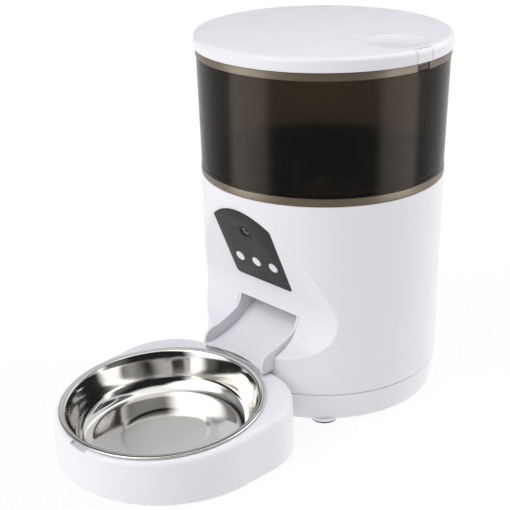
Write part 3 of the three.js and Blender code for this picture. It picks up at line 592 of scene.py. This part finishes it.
def button(name, x):
    """A flat button cap with a softly rounded, raised rim, its stem, and the switch behind it."""
    cap = rounded([(0, -2.4), (BUTTON_R, -2.4, 0.3), (BUTTON_R, 0.5, 0.45), (3.1, 0.5, 0.3), (2.9, 0.38, 0.3),
                   (0, 0.38)], 5)
    stem = rod(2, -6.4, -2.0, x, 0, 0.3)
    shape = joined(turned(lathe(cap, FINE_ROUND, x, 0), ON_SLOPE), turned(stem, ON_SLOPE))
    build(name.replace("_", "_cap_"), f"{name}_body", "white_gloss", shape, [name])
    pad = slope_disc(2.6, x, 0, -8.7, -7.2, 0.2)
    case = turned(soft_block(x - 3, x + 3, -3, 3, -8.7, -7.9, 0.5, 0.15), ON_SLOPE)
    shape = joined(pad, case)
    build(name.replace("button", "key"), "body", "black_plastic", shape, [name.replace("button", "switch")])


def lens_part(profile):
    return turned(lathe(profile, FINE_ROUND, 0, LENS_UP), ON_SLOPE)


def camera():
    ring = rounded([(4.3, -1.5), (5.8, -1.5), (5.8, 0.35, 0.3), (5.1, 0.4, 0.15), (4.3, -0.2, 0.1)], 4)
    build("lens_ring", "body", "black_gloss", lens_part(ring), ["camera_ring"])
    dome = [(4 * math.sin(a), -1.35 + 1.25 * math.cos(a)) for a in np.linspace(PI / 2, 0, 14)]
    barrel = [(0, -3), (4, -3), *dome[:-1], (0, dome[-1][1])]
    build("lens_glass", "body", "lens_glass", lens_part(barrel), ["camera_lens"])
    stop = rounded([(1.5, -0.12), (2.3, -0.42), (2.3, -0.3), (1.5, 0.0)], 2)
    build("lens_stop", "body", "black_gloss", lens_part(stop))
    case = soft_block(-6, 6, LENS_UP - 6, LENS_UP + 6, -8.7, -3.6, 1.2, 0.3)
    build("camera_case", "body", "black_plastic", turned(case, ON_SLOPE), ["camera_module"])


def electronics():
    led = turned(rod(0.6, -8.7, -0.15, 0, LED_UP, 0.25), ON_SLOPE)
    flange = turned(rod(1.4, -8.7, -7.8, 0, LED_UP, 0.1), ON_SLOPE)
    build("led_lens", "body", "led_blue", joined(led, flange), ["status_led"])
    can = rounded([(0, -8.7), (2.2, -8.7, 0.1), (2.2, -6, 0.3), (0.6, -6), (0.6, -6.4), (0, -6.4)], 3)
    shape = turned(lathe(can, SMALL_ROUND, 0, MIC_UP), ON_SLOPE)
    build("microphone_can", "body", "zinc", shape, ["microphone"])
    board = make_mesh("board", *turned(soft_block(-26, 26, -16, 37, -10.6, -9.0, 1.5, 0.1), ON_SLOPE))
    cut(board, [turned(rod(1.6, -12, -8, x, u, 0.05), ON_SLOPE) for x in (-22, 22) for u in (-12, 33)])
    fit(board, "body", "board_green", "control_board")
    socket = rounded([(3.2, 84), (3.2, 92.0, 0.2), (5.6, 92.2, 0.2), (6.6, 91.4, 0.5), (6.6, 82, 0.3),
                      (5, 82), (5, 78, 0.3), (0, 78), (0, 84)], 4)
    pin = rod(1, 83, 90, 0, 0, 0.4)
    shape = joined(turned(lathe(socket, FINE_ROUND), AT_JACK), turned(pin, AT_JACK))
    build("power_inlet", "body", "black_plastic", shape, ["dc_jack"])


# ---------------------------------------------------------------- chute
def eased(points, count):
    """A smooth curve through the points, Catmull-Rom, sampled evenly between them."""
    before, after = 2 * np.array(points[0]) - points[1], 2 * np.array(points[-1]) - points[-2]
    p = np.array([before, *points, after], float)
    out = []
    for i in range(1, len(p) - 2):
        for k in range(count):
            t = k / count
            a, b, c, d = p[i - 1], p[i], p[i + 1], p[i + 2]
            out.append(tuple(0.5 * (2 * b + (c - a) * t + (2 * a - 5 * b + 4 * c - d) * t**2
                                    + (3 * b - a - 3 * c + d) * t**3)))
    return out + [tuple(p[-2])]


def chute():
    wall = CHUTE_WALL
    floor = eased([(-18, 86.5), (-46, 69.2), (-60.5, 60.6), (-70, 55.6), (-78, 52.7), (-88, 50.3),
                   (-101, 49.2)], 6)
    under = [(y, z - wall) for y, z in floor if y > -71]
    z = np.linspace(LIP_Z, 70, 8)
    lip = [(-float(recess_depth(h)), float(h)) for h in z]
    nose = arc(-91.4, 51, 9, PI * 1.02, PI * 0.56, 16)
    brow = eased([nose[-1], (-84.5, 61.4), (-76.0, 64.4), (-69.2, 67.4), lip[-1]], 5)[1:-1]
    outline = [(-18 + wall, HOUSING_FLOOR - 0.5), (-18 + wall, 86.5 - wall), *under[1:], (-74, CHUTE_LOW),
               (-99.8, CHUTE_LOW), *nose, *brow, *lip[::-1], (-43.5 - wall, 113),
               (-43.5 - wall, HOUSING_FLOOR - 0.5)]
    channel = [(-18, HOUSING_FLOOR + 1), *floor, (-120, 49), (-120, 100), (-66, 100), (-54.6, LIP_Z),
               (-43.5, 112), (-43.5, HOUSING_FLOOR + 1)]
    piece = make_mesh("chute_channel", *across(outline, CHUTE_HALF + wall))
    bowl_side = lathe([(0, 20), (BOWL_R + 0.9, 20), (BOWL_R + 0.9, 80), (0, 80)], ROUND, 0, BOWL_Y)
    hollow = block(-CHUTE_HALF, CHUTE_HALF, -110, -76, CHUTE_LOW - 1, 47.4)
    cut(piece, [across(channel, CHUTE_HALF), bowl_side, hollow], sharp=30)
    return fit(piece, "body", "white_gloss", "chute")


# ---------------------------------------------------------------- base
def base_cover():
    high, floor = SEAM_Z - 0.3, BASE_LOW + BASE_FLOOR
    dish = [(0, BASE_LOW), (BASE_R, BASE_LOW, 2.0), (SEAM_R - 0.1, high, 0.5),
            (SEAM_R - BODY_WALL, high, 0.3), (BASE_R - BODY_WALL, floor, 1.5), (0, floor)]
    base = make_mesh("base", *lathe(rounded(dish, 6)))
    added = [block(-BAY_HALF - 2, BAY_HALF + 2, BAY_FRONT - 2, BAY_BACK + 2, BASE_LOW + 1, BAY_TOP + 2)]
    added += [rod(4.2, BASE_LOW + 1, SEAM_Z - 0.5, x, y) for x, y in POSTS]
    for x, y in FEET:
        added.append(rod(PAD_R + 3, PAD_TOP + 0.1, BASE_LOW + 1, x, y, 0.2, FINE_ROUND, PAD_R + 0.8))
    cut(base, added, "UNION")
    removed = [
        block(-BAY_HALF, BAY_HALF, BAY_FRONT, BAY_BACK, 0, BAY_TOP),
        block(-BAY_HALF - 1, BAY_HALF + 1, BAY_FRONT - 1, BAY_BACK + 1, 0, BASE_LOW + 1.6),
    ]
    for x, y in POSTS:
        removed += [rod(SCREW_HOLE_R, 0, SEAM_Z + 2, x, y, 0.05), rod(3.5, 0, BASE_LOW + 3, x, y, 0.05)]
    for i in range(-2, 3):
        removed.append(soft_block(-10, 10, -51.2 + 5 * i, -48.8 + 5 * i, 0, BASE_LOW + 4, 1.1, 0.01))
    removed += [block(s * 22 - 6.6, s * 22 + 6.6, -97, -80, 9.4, 13.6) for s in (-1, 1)]
    return fit(cut(base, removed), "body", "white_gloss", "base_cover")


def feet():
    pad = rounded([(0, 0), (PAD_R - 0.3, 0, 0.2), (PAD_R, 0.4, 0.2), (PAD_R, PAD_TOP, 0.2), (0, PAD_TOP)], 4)
    for i, (x, y) in enumerate(FEET):
        shape = lathe(pad, FINE_ROUND, x, y)
        build(f"base_pad_{i + 1}", "body", "rubber_black", shape, [f"foot_pad_{i + 1}"])
    for i, (x, y) in enumerate([(-52, -212), (52, -212), (-58, -128), (58, -128)]):
        foot = rod(7, 0, TRAY_LOW - 0.3, x, y, 0.35, FINE_ROUND)
        build(f"tray_foot_{i + 1}", "tray_body", "rubber_black", foot, [f"tray_pad_{i + 1}"])


def screw(name, body, x, y, under, top, tip, stands_for):
    """A pan-head screw, head up or down, with a cross recess and a threaded shank."""
    sign = 1 if top > under else -1
    head = [(0, under), (3.2, under, 0.2), (3.2, under + 0.5 * (top - under), 0.9), (2.2, top, 0.5), (0, top)]
    pitch = 0.9
    thread = [(0, under)]
    for k in range(int(abs(tip - under) / pitch)):
        z = under - sign * k * pitch
        thread += [(1.05, z), (1.4, z - sign * pitch / 2)]
    thread += [(1.0, tip + sign * 0.4), (0, tip)]
    piece = make_mesh(name, *lathe(rounded(head, 4), SMALL_ROUND, x, y))
    low, high = sorted((top + sign * 0.2, top - sign * 1.1))
    cut(piece, [block(x - 1.7, x + 1.7, y - 0.35, y + 0.35, low, high),
                block(x - 0.35, x + 0.35, y - 1.7, y + 1.7, low, high)])
    fit(piece, body, "zinc", *stands_for)
    build(f"{name}_thread", body, "zinc", lathe(thread, THREAD_ROUND, x, y), stands_for)


def spring(name, x, stands_for):
    """A conical battery spring wound along Y from its wide end to its narrow end."""
    wide, narrow, length, wire, turns = 4.9, 2.2, 3.0, 0.4, 4
    rings, around, along = [], 10, turns * 28
    for i in range(along + 1):
        share = i / along
        a = 2 * PI * turns * share
        radius = wide + (narrow - wide) * share
        y = BAY_FRONT + 1.5 + length * share
        centre = np.array([x + radius * math.cos(a), y, 24.5 + radius * math.sin(a)])
        out = np.array([math.cos(a), 0, math.sin(a)])
        rings.append([centre + wire * (out * math.cos(b) + np.array([0, 1, 0]) * math.sin(b))
                      for b in np.arange(around) * 2 * PI / around])
    return build(name, "body", "zinc", stack(rings), stands_for, 60)


def base_fittings():
    for i, (x, y) in enumerate(POSTS):
        screw(f"cover_screw_{i + 1}", "body", x, y, 6.6, 4.4, 45.8, [f"base_screw_{i + 1}"])
    plate = soft_block(-BAY_HALF - 0.7, BAY_HALF + 0.7, BAY_FRONT - 0.7, BAY_BACK + 0.7,
                       BASE_LOW, BASE_LOW + 1.3, 2, 0.3)
    cover = make_mesh("battery_door_plate", *plate)
    lip = soft_block(-BAY_HALF + 0.4, BAY_HALF - 0.4, BAY_FRONT + 0.4, BAY_BACK - 0.4, 5, 7, 1.5, 0.2)
    cut(cover, [lip], "UNION")
    cut(cover, [soft_block(-12, 12, BAY_BACK - 9, BAY_BACK - 5, 0, BASE_LOW + 0.8, 1.9, 0.01)])
    fit(cover, "battery_door", "white_satin", "battery_cover")
    for side, y in (("front", BAY_FRONT + 0.3), ("back", BAY_BACK - 0.8)):
        plates = [soft_block(x - 15.5, x + 15.5, y, y + 0.5, 12, 38, 0.2, 0.05) for x in (-34, 0, 34)]
        build(f"contact_{side}", "body", "zinc", joined(*plates), [f"contact_plate_{side}"])
    for side, x in (("left", -34.5), ("centre", 0.0), ("right", 34.5)):
        spring(f"spring_{side}", x, [f"contact_spring_{side}"])
    basket = rounded([(0, 7), (18, 7, 0.2), (18, 9, 0.4), (16, 9), (9, 11), (9, 15, 0.4), (0, 15)], 4)
    build("speaker_basket", "body", "black_plastic", lathe(basket, FINE_ROUND, 0, -50), ["speaker"])


# ---------------------------------------------------------------- rotor and drive
def drive():
    top = DECK_Z + DECK_THICK + 2.5
    wall, flange = 2.2, 56.5
    inside_r, floor = HOUSING_R - wall, HOUSING_FLOOR + 2.5
    cup = [(0, HOUSING_FLOOR), (HOUSING_R, HOUSING_FLOOR, 1.0), (HOUSING_R, top - wall, 0.5),
           (flange, top - wall, 0.3), (flange, top, 0.4), (inside_r, top, 0.6), (inside_r, floor, 1.2),
           (0, floor)]
    housing = make_mesh("rotor_cup", *lathe(rounded(cup, 4), FINE_ROUND))
    ears = [rod(6, top - wall, top, x * 0.97, y * 0.97) for x, y in EARS]
    cut(housing, ears, "UNION")
    inside = rod(inside_r, HOUSING_FLOOR + 2.6, top + 1, 0, 0, 0.05, FINE_ROUND)
    holes = [rod(SCREW_HOLE_R, top - 5, top + 2, x, y, 0.05) for x, y in EARS]
    outlet = soft_block(-28, 28, -41, -19, HOUSING_FLOOR - 1, HOUSING_FLOOR + 4, 2, 0.01)
    cut(housing, [inside, *holes, outlet, rod(3.6, HOUSING_FLOOR - 1, HOUSING_FLOOR + 4, 0, 0, 0.05)])
    fit(housing, "body", "white_satin", "rotor_housing")
    for i, (x, y) in enumerate(EARS):
        node = f"housing_screw_{i + 1}"
        screw(f"cup_screw_{i + 1}", "body", x, y, top + 0.3, top + 2.4, DECK_Z - 5.8, [node])
    sleeve = rounded([(8.3, 121, 0.3), (12, 121, 0.6), (12, 147.5, 0.6), (8.3, 147.5, 0.3)], 4)
    blades = make_mesh("paddle_wheel", *lathe(sleeve, FINE_ROUND))
    vanes = []
    for i in range(6):
        turn = Matrix.Rotation(math.radians(30 + 60 * i), 4, "Z")
        vanes.append(turned(soft_block(-1.5, 1.5, 10, 48.6, 121, 147.5, 1.2, 0.5), turn))
    fit(cut(blades, vanes, "UNION"), "rotor", "silicone", "rotor_blades")
    hub = lathe(rounded([(3.3, 121, 0.3), (8, 121, 0.5), (8, 148, 0.8), (3.3, 148, 0.3)], 4), FINE_ROUND)
    build("rotor_core", "rotor", "white_satin", hub, ["rotor_hub"])
    shaft = rounded([(0, 112.4), (3, 112.4, 0.5), (3, 156, 0.3), (2.4, 157, 0.2), (0, 157)], 3)
    build("drive_shaft", "rotor", "steel_shaft", lathe(shaft, SMALL_ROUND), ["rotor_shaft"])
    boss = rounded([(3.3, 150.8, 0.2), (10, 150.8, 0.6), (7.6, 161, 4), (6, 168, 1.5), (0, 168), (0, 158),
                    (3.3, 158)], 6)
    stirrer = make_mesh("stirrer", *lathe(boss, FINE_ROUND))
    arm = soft_block(-30, 30, -2.2, 2.2, 157, 161, 2.1, 0.8)
    fingers = [rod(2, 158, 174, x, 0, 1.2) for x in (-28, 28)]
    fit(cut(stirrer, [arm, *fingers], "UNION"), "rotor", "white_satin", "agitator")
    gear = make_mesh("gear_case", *soft_block(-21, 21, -13, 44, 92, HOUSING_FLOOR - 0.3, 4, 0.8))
    cut(gear, [rod(3.4, 112, 120, 0, 0, 0.05)] + [rod(SCREW_HOLE_R, 90, 120, x, 40, 0.05) for x in (-17, 17)])
    fit(gear, "body", "black_plastic", "gearbox")
    can = rounded([(0, 59), (4, 59, 0.3), (4, 62), (12.5, 62, 1.2), (12.5, 90, 0.2), (12.1, 90.2, 0.1),
                   (12.1, 91.7, 0.2), (0, 91.7)], 4)
    build("motor_can", "body", "steel_shaft", lathe(can, FINE_ROUND, 0, 28), ["motor"])


# ---------------------------------------------------------------- hopper and lid
def hopper():
    """The neck, funnel, wall and two stepped rims, turned as one profile."""
    wall, low, top = HOPPER_WALL, HOPPER_LOW_R, HOPPER_HIGH_R
    band_top, band_foot = HOPPER_LOW + BAND_LOW, HOPPER_HIGH - BAND_HIGH
    profile = [
        (46.1, 151.5, 0.4), (48.3, 151.5, 0.4), (48.3, 156, 1.0), (85, 177.8), (89.6, 177.8),
        (89.6, 175, 0.3), (91.6, 175, 0.3), (91.6, HOPPER_LOW), (low + BAND_STEP, HOPPER_LOW, 0.5),
        (low + BAND_STEP, band_top, 0.3), (low + 0.12, band_top + 0.5, 0.2), (top - 0.12, band_foot - 0.6, 0.2),
        (top + BAND_STEP, band_foot, 0.3), (top + BAND_STEP, HOPPER_HIGH, 0.4), (top - wall, HOPPER_HIGH, 0.4),
        (low - wall, 188.3, 2.0), (low - wall - 2.2, 184.5, 1.0), (86, 182.5, 1.0), (46.1, 157.6, 1.5),
    ]
    piece = make_mesh("food_hopper", *lathe(rounded(profile, 5)), 40)
    side = HOOK_HALF + 0.6
    cut(piece, [block(90, 100, -side, side, HOPPER_HIGH - HOOK_DROP - 0.8, HOPPER_HIGH + 1)], sharp=40)
    return fit(piece, "hopper_body", "smoke", "hopper")


def lid():
    """The lid with its plug, seal groove, thumb scoop and latch pocket, and the latch that fills the pocket."""
    under, plug = LID_TOP - 2.4, PLUG_R
    inner = LID_RADIUS - LID_WALL
    profile = [
        (0, LID_TOP), (LID_RADIUS, LID_TOP, LID_EDGE), (LID_RADIUS, LID_BOTTOM, 0.7),
        (inner, LID_BOTTOM, 0.5), (inner, under, 2.0), (plug, under, 0.5), (plug, 277.0),
        (plug - 0.8, 276.7), (plug - 0.8, 274.0), (plug, 273.7), (plug, PLUG_LOW, 0.4),
        (plug - 2, PLUG_LOW, 0.4), (plug - 2, under, 1.0), (0, under),
    ]
    piece = make_mesh("lid_cap", *lathe(rounded(profile, 8)))
    tilt = Matrix.Rotation(math.atan2(SCOOP_DEPTH / 2, SCOOP_R), 4, "Y")
    dip = Matrix.Translation((SCOOP_X, SCOOP_Y, LID_TOP)) @ Matrix.Rotation(SCOOP_TURN, 4, "Z") @ tilt
    scoop = turned(rod(SCOOP_R, -SCOOP_DEPTH / 2, 6, 0, 0, 0.2, ROUND), dip)
    side = LATCH_HALF + LATCH_GAP
    cut(piece, [block(LATCH_POCKET, 120, -side, side, 200, 400), scoop])
    fit(piece, "lid_body", "white_gloss", "lid")
    seal = rounded([(91.5, 274.3), (93, 274.5, 0.3), (93.8, 275.4, 0.4), (93, 276.2, 0.3), (91.5, 276.4)], 4)
    build("seal_ring", "lid_body", "silicone", lathe(seal), ["lid_seal"])
    solid = [(0, LID_BOTTOM), (LID_RADIUS, LID_BOTTOM, 0.7), (LID_RADIUS, LID_TOP, LID_EDGE), (0, LID_TOP)]
    latch = make_mesh("latch_button", *lathe(rounded(solid, 10)))
    cut(latch, [block(LATCH_FACE, 120, -LATCH_HALF, LATCH_HALF, LID_BOTTOM - 1, 400)], "INTERSECT")
    fit(latch, "latch", "white_gloss", "lid_latch")
    low, face = HOPPER_HIGH - HOOK_DROP, LATCH_FACE
    tongue = soft_block(face, face + 0.7, -HOOK_HALF, HOOK_HALF, low, LID_BOTTOM - 0.1, 0.2, 0.15)
    side = HOOK_HALF - 1.6
    bar = soft_block(face + 0.5, face + 1.3, -side, side, low + 0.9, low + 2.6, 0.25, 0.2)
    hook = make_mesh("latch_hook", *tongue)
    cut(hook, [bar], "UNION")
    fit(hook, "latch", "smoke", "lid_latch")
    # The hook takes the rim's tan, which is partly painted light passing through the plastic.
    hook.data.materials[0] = RIM_MATERIAL


def desiccant():
    top = LID_TOP - 2.7
    low = top - 18
    profile = [(0, low), (30, low, 1.5), (30, top, 0.4), (28, top, 0.4), (28, low + 2, 1.0), (0, low + 2)]
    cup = make_mesh("desiccant_cage", *lathe(rounded(profile, 5), FINE_ROUND))
    slots = [soft_block(6 * i - 1, 6 * i + 1, -18, 18, low - 1, low + 4, 0.95, 0.01) for i in range(-3, 4)]
    cut(cup, slots)
    cut(cup, [soft_block(-1.2, 1.2, -20, 20, low - 4, low + 0.6, 1.1, 0.4)], "UNION")
    return fit(cup, "desiccant", "white_satin", "desiccant_cup")


# ---------------------------------------------------------------- tray and bowl
def tray_outline(inset):
    """The tray from above: a half circle at the front and two rounded corners at the rear."""
    corner_x = TRAY_HALF - TRAY_CORNER
    return [
        *arc(0, TRAY_FRONT_Y, TRAY_HALF - inset, -PI, 0, 120),
        *arc(corner_x, TRAY_REAR_Y, TRAY_CORNER - inset, 0, PI / 2, 40),
        *arc(-corner_x, TRAY_REAR_Y, TRAY_CORNER - inset, PI / 2, PI, 40),
    ]


def deck_height(y):
    """Height of the tray's sloping top."""
    return BOWL_Z - DECK_DROP + (y - BOWL_Y) * math.tan(BOWL_TILT)


def bowl_foot(radius, steps=16):
    """The curve between the bowl's wall and its bottom, from the wall down."""
    centre = BOWL_WALL_R - BOWL_DRAFT - BOWL_CURVE
    return arc(centre, BOWL_CURVE - BOWL_DEPTH, radius, -BOWL_LEAN, -PI / 2, steps)


def tray():
    rings = []
    foot = TRAY_LOW + 1.2
    for inset, z in ((0.9, TRAY_LOW), (0.35, TRAY_LOW + 0.25), (0.08, TRAY_LOW + 0.7), (0.0, foot)):
        rings.append([(x, y, z) for x, y in tray_outline(inset)])
    draft = TRAY_DRAFT - TRAY_EDGE * 0.55
    for share in (0.33, 0.66):
        ring = tray_outline(draft * share)
        rings.append([(x, y, foot + (deck_height(y) - TRAY_EDGE - foot) * share) for x, y in ring])
    steps = 10
    for i in range(steps + 1):
        angle = i / steps * PI / 2
        ring = tray_outline(draft + TRAY_EDGE * (1 - math.cos(angle)))
        rings.append([(x, y, deck_height(y) - TRAY_EDGE * (1 - math.sin(angle))) for x, y in ring])
    piece = make_mesh("tray_body_shell", *stack(rings))
    well = [(0, -BOWL_DEPTH - WELL_GAP), *bowl_foot(BOWL_CURVE + WELL_GAP)[::-1],
            (BOWL_WALL_R + WELL_GAP, -4), (BOWL_WALL_R + WELL_GAP, 20), (0, 20)]
    body_side = lathe([(0, 0), (BODY_TOP_R + 0.2, 0), (BODY_TOP_R + 0.2, 70), (0, 70)])
    notch = [(-256, 31.5), (-246, 31.5, 2), (-241.5, 34.5, 2), (-241.5, 60), (-256, 60)]
    cut(piece, [turned(lathe(well), ON_BOWL), body_side, across(rounded(notch, 5), 8.5)])
    tongues = [soft_block(s * 22 - 6, s * 22 + 6, -99, -84, 10, 13, 1, 0.4) for s in (-1, 1)]
    cut(piece, tongues, "UNION")
    return fit(piece, "tray_body", "white_gloss", "tray")


def bowl():
    sheet = BOWL_SHEET
    bead = arc(BOWL_R - 0.85, -0.75, 0.85, -PI * 0.75, PI * 0.62, 18)
    disc, step = 31.0, 0.4
    floor = -BOWL_DEPTH + sheet
    rim_inside, wall_top = (BOWL_R - 2.2, -0.35), (BOWL_WALL_R - 1.7, -6.0)
    lip = rounded([rim_inside, (BOWL_WALL_R + 0.2, -0.2, 1.8), wall_top], 8)[1:-1]
    foot = bowl_foot(BOWL_CURVE - sheet, 28)
    stamp = [(disc + 4.0, floor), (disc + 2.4, floor + 0.06), (disc + 0.6, floor + 0.22),
             (disc - 1.6, floor + step), (disc * 0.5, floor + step + 0.12), (0, floor + step + 0.2)]
    profile = [
        (0, -BOWL_DEPTH), *bowl_foot(BOWL_CURVE, 20)[::-1], (BOWL_WALL_R - 0.9, -5),
        (BOWL_WALL_R + 1.2, -1.2), (BOWL_R - 2.0, -1.2), *bead, rim_inside, *lip, wall_top, *foot, *stamp,
    ]
    shape = turned(lathe(profile, BOWL_ROUND), ON_BOWL)
    return build("steel_bowl", "bowl_body", "steel_polished", shape, ["bowl"], 50)


# ---------------------------------------------------------------- studio
# The camera stands at a place in metres. The azimuth is counted from the front towards +X.
CAMERA_AZIMUTH, CAMERA_ELEVATION, CAMERA_ROLL = (math.radians(angle) for angle in (46.547, 21.873, 0.935))
CAMERA_PLACE = (0.60354, -0.57041, 0.47262)
CAMERA_LENS, CAMERA_SENSOR, CAMERA_SHIFT = 83.132, 36, (0.00136, -0.03)
# The floor reaches this many metres each way, and is mostly its own glow.
FLOOR_REACH, FLOOR_TONE, FLOOR_GLOW = 8.0, 0.08, 0.89
SKY_COLOR, AMBIENT = (0.985, 0.98, 1.0), 0.02
# Soft boxes around the stand: degrees to the right of the camera, degrees up, and brightness.
SOFT_BOXES = [
    (-115, 12, 0.3), (-55, 12, 1.5), (70, 12, 0.15), (100, 12, 2.2), (135, 12, 0.8),
    (-90, 48, 0.3), (-55, 48, 2.4), (115, 48, 1.6), (170, 48, 0.7), (0, 88, 1.2),
]
# A box is at full strength up to 12 degrees from its middle, and fades out at 34 degrees.
BOX_EDGE, BOX_CORE = math.cos(math.radians(34)), math.cos(math.radians(12))
# Low strips that only the hopper picks up: name, degrees to the right of the camera, and watts.
STRIPS = [("strip_left", -68, 1.65), ("strip_right", 64, 1.5)]
STRIP_DISTANCE, STRIP_WIDTH, STRIP_HEIGHT = 0.45, 0.3, 0.3
STRIP_COLOR = (1.0, 0.88, 0.74)


def heading(azimuth, elevation):
    """A unit direction from the stand, with the azimuth counted from the camera towards its right."""
    turn, rise = CAMERA_AZIMUTH + math.radians(azimuth), math.radians(elevation)
    return Vector((math.sin(turn) * math.cos(rise), -math.cos(turn) * math.cos(rise), math.sin(rise)))


def strip_light(name, azimuth, power):
    """A low strip standing beside the feeder, which only the hopper picks up."""
    data = bpy.data.lights.new(name, "AREA")
    data.shape = "RECTANGLE"
    data.size, data.size_y = STRIP_WIDTH, STRIP_HEIGHT
    data.energy = power
    data.color = STRIP_COLOR
    light = bpy.data.objects.new(name, data)
    away = heading(azimuth, 0)
    light.rotation_euler = away.to_track_quat("Z", "Y").to_euler()
    light.location = away * STRIP_DISTANCE + Vector((0, AXIS_Y, STRIP_HEIGHT / 2 - 0.02))
    bpy.context.scene.collection.objects.link(light)
    only = bpy.data.collections.new(name)
    only.objects.link(bpy.data.objects["food_hopper"])
    light.light_linking.receiver_collection = only


def ground_floor():
    floor = bpy.data.meshes.new("floor")
    far = FLOOR_REACH
    floor.from_pydata([(-far, -far, 0), (far, -far, 0), (far, far, 0), (-far, far, 0)], [], [(0, 1, 2, 3)])
    ground = bpy.data.objects.new("floor", floor)
    bpy.context.scene.collection.objects.link(ground)
    paint = bpy.data.materials.new("floor_white")
    paint.use_nodes = True
    shader = paint.node_tree.nodes["Principled BSDF"]
    shader.inputs["Base Color"].default_value = (FLOOR_TONE, FLOOR_TONE, FLOOR_TONE, 1)
    shader.inputs["Roughness"].default_value = 0.9
    shader.inputs["Emission Color"].default_value = (1, 1, 1, 1)
    shader.inputs["Emission Strength"].default_value = FLOOR_GLOW
    floor.materials.append(paint)


def studio():
    """A dark sky with soft boxes in it, and the strips."""
    scene = bpy.context.scene
    world = bpy.data.worlds.new("studio")
    scene.world = world
    world.use_nodes = True
    world.node_tree.nodes.clear()
    n = Nodes(world.node_tree)
    where = n.add("ShaderNodeTexCoord")
    light = AMBIENT
    for azimuth, elevation, strength in SOFT_BOXES:
        facing = n.add("ShaderNodeVectorMath", operation="DOT_PRODUCT")
        n.link(where.outputs["Generated"], facing.inputs[0])
        facing.inputs[1].default_value = heading(azimuth, elevation)
        box = n.spread(facing.outputs["Value"], 0.0, strength, BOX_EDGE, BOX_CORE,
                       interpolation_type="SMOOTHSTEP")
        light = n.math("ADD", light, box)
    sky = n.add("ShaderNodeBackground", Color=(*SKY_COLOR, 1))
    n.link(light, sky.inputs["Strength"])
    out = n.add("ShaderNodeOutputWorld")
    n.link(sky.outputs[0], out.inputs[0])
    scene.view_settings.view_transform = "Standard"
    for name, azimuth, power in STRIPS:
        strip_light(name, azimuth, power)


def camera_in_place():
    a, e, roll = CAMERA_AZIMUTH, CAMERA_ELEVATION, CAMERA_ROLL
    back = Vector((math.sin(a) * math.cos(e), -math.cos(a) * math.cos(e), math.sin(e)))
    right = Vector((math.cos(a), math.sin(a), 0))
    up = back.cross(right)
    side = right * math.cos(roll) - up * math.sin(roll)
    top = right * math.sin(roll) + up * math.cos(roll)
    data = bpy.data.cameras.new("camera")
    data.lens, data.sensor_width = CAMERA_LENS, CAMERA_SENSOR
    data.shift_x, data.shift_y = CAMERA_SHIFT
    data.clip_start, data.clip_end = 0.01, 50
    view = bpy.data.objects.new("camera", data)
    turn = Matrix((side, top, back)).transposed()
    view.matrix_world = Matrix.Translation(CAMERA_PLACE) @ turn.to_4x4()
    bpy.context.scene.collection.objects.link(view)
    bpy.context.scene.camera = view


# ---------------------------------------------------------------- assembly
body_shell()
shell_deck()
shell_posts()
control_panel()
for button_name, button_x in BUTTONS.items():
    button(button_name, button_x)
camera()
electronics()
chute()
base_cover()
feet()
base_fittings()
drive()
hopper()
lid()
desiccant()
tray()
bowl()
ground_floor()
studio()
camera_in_place()
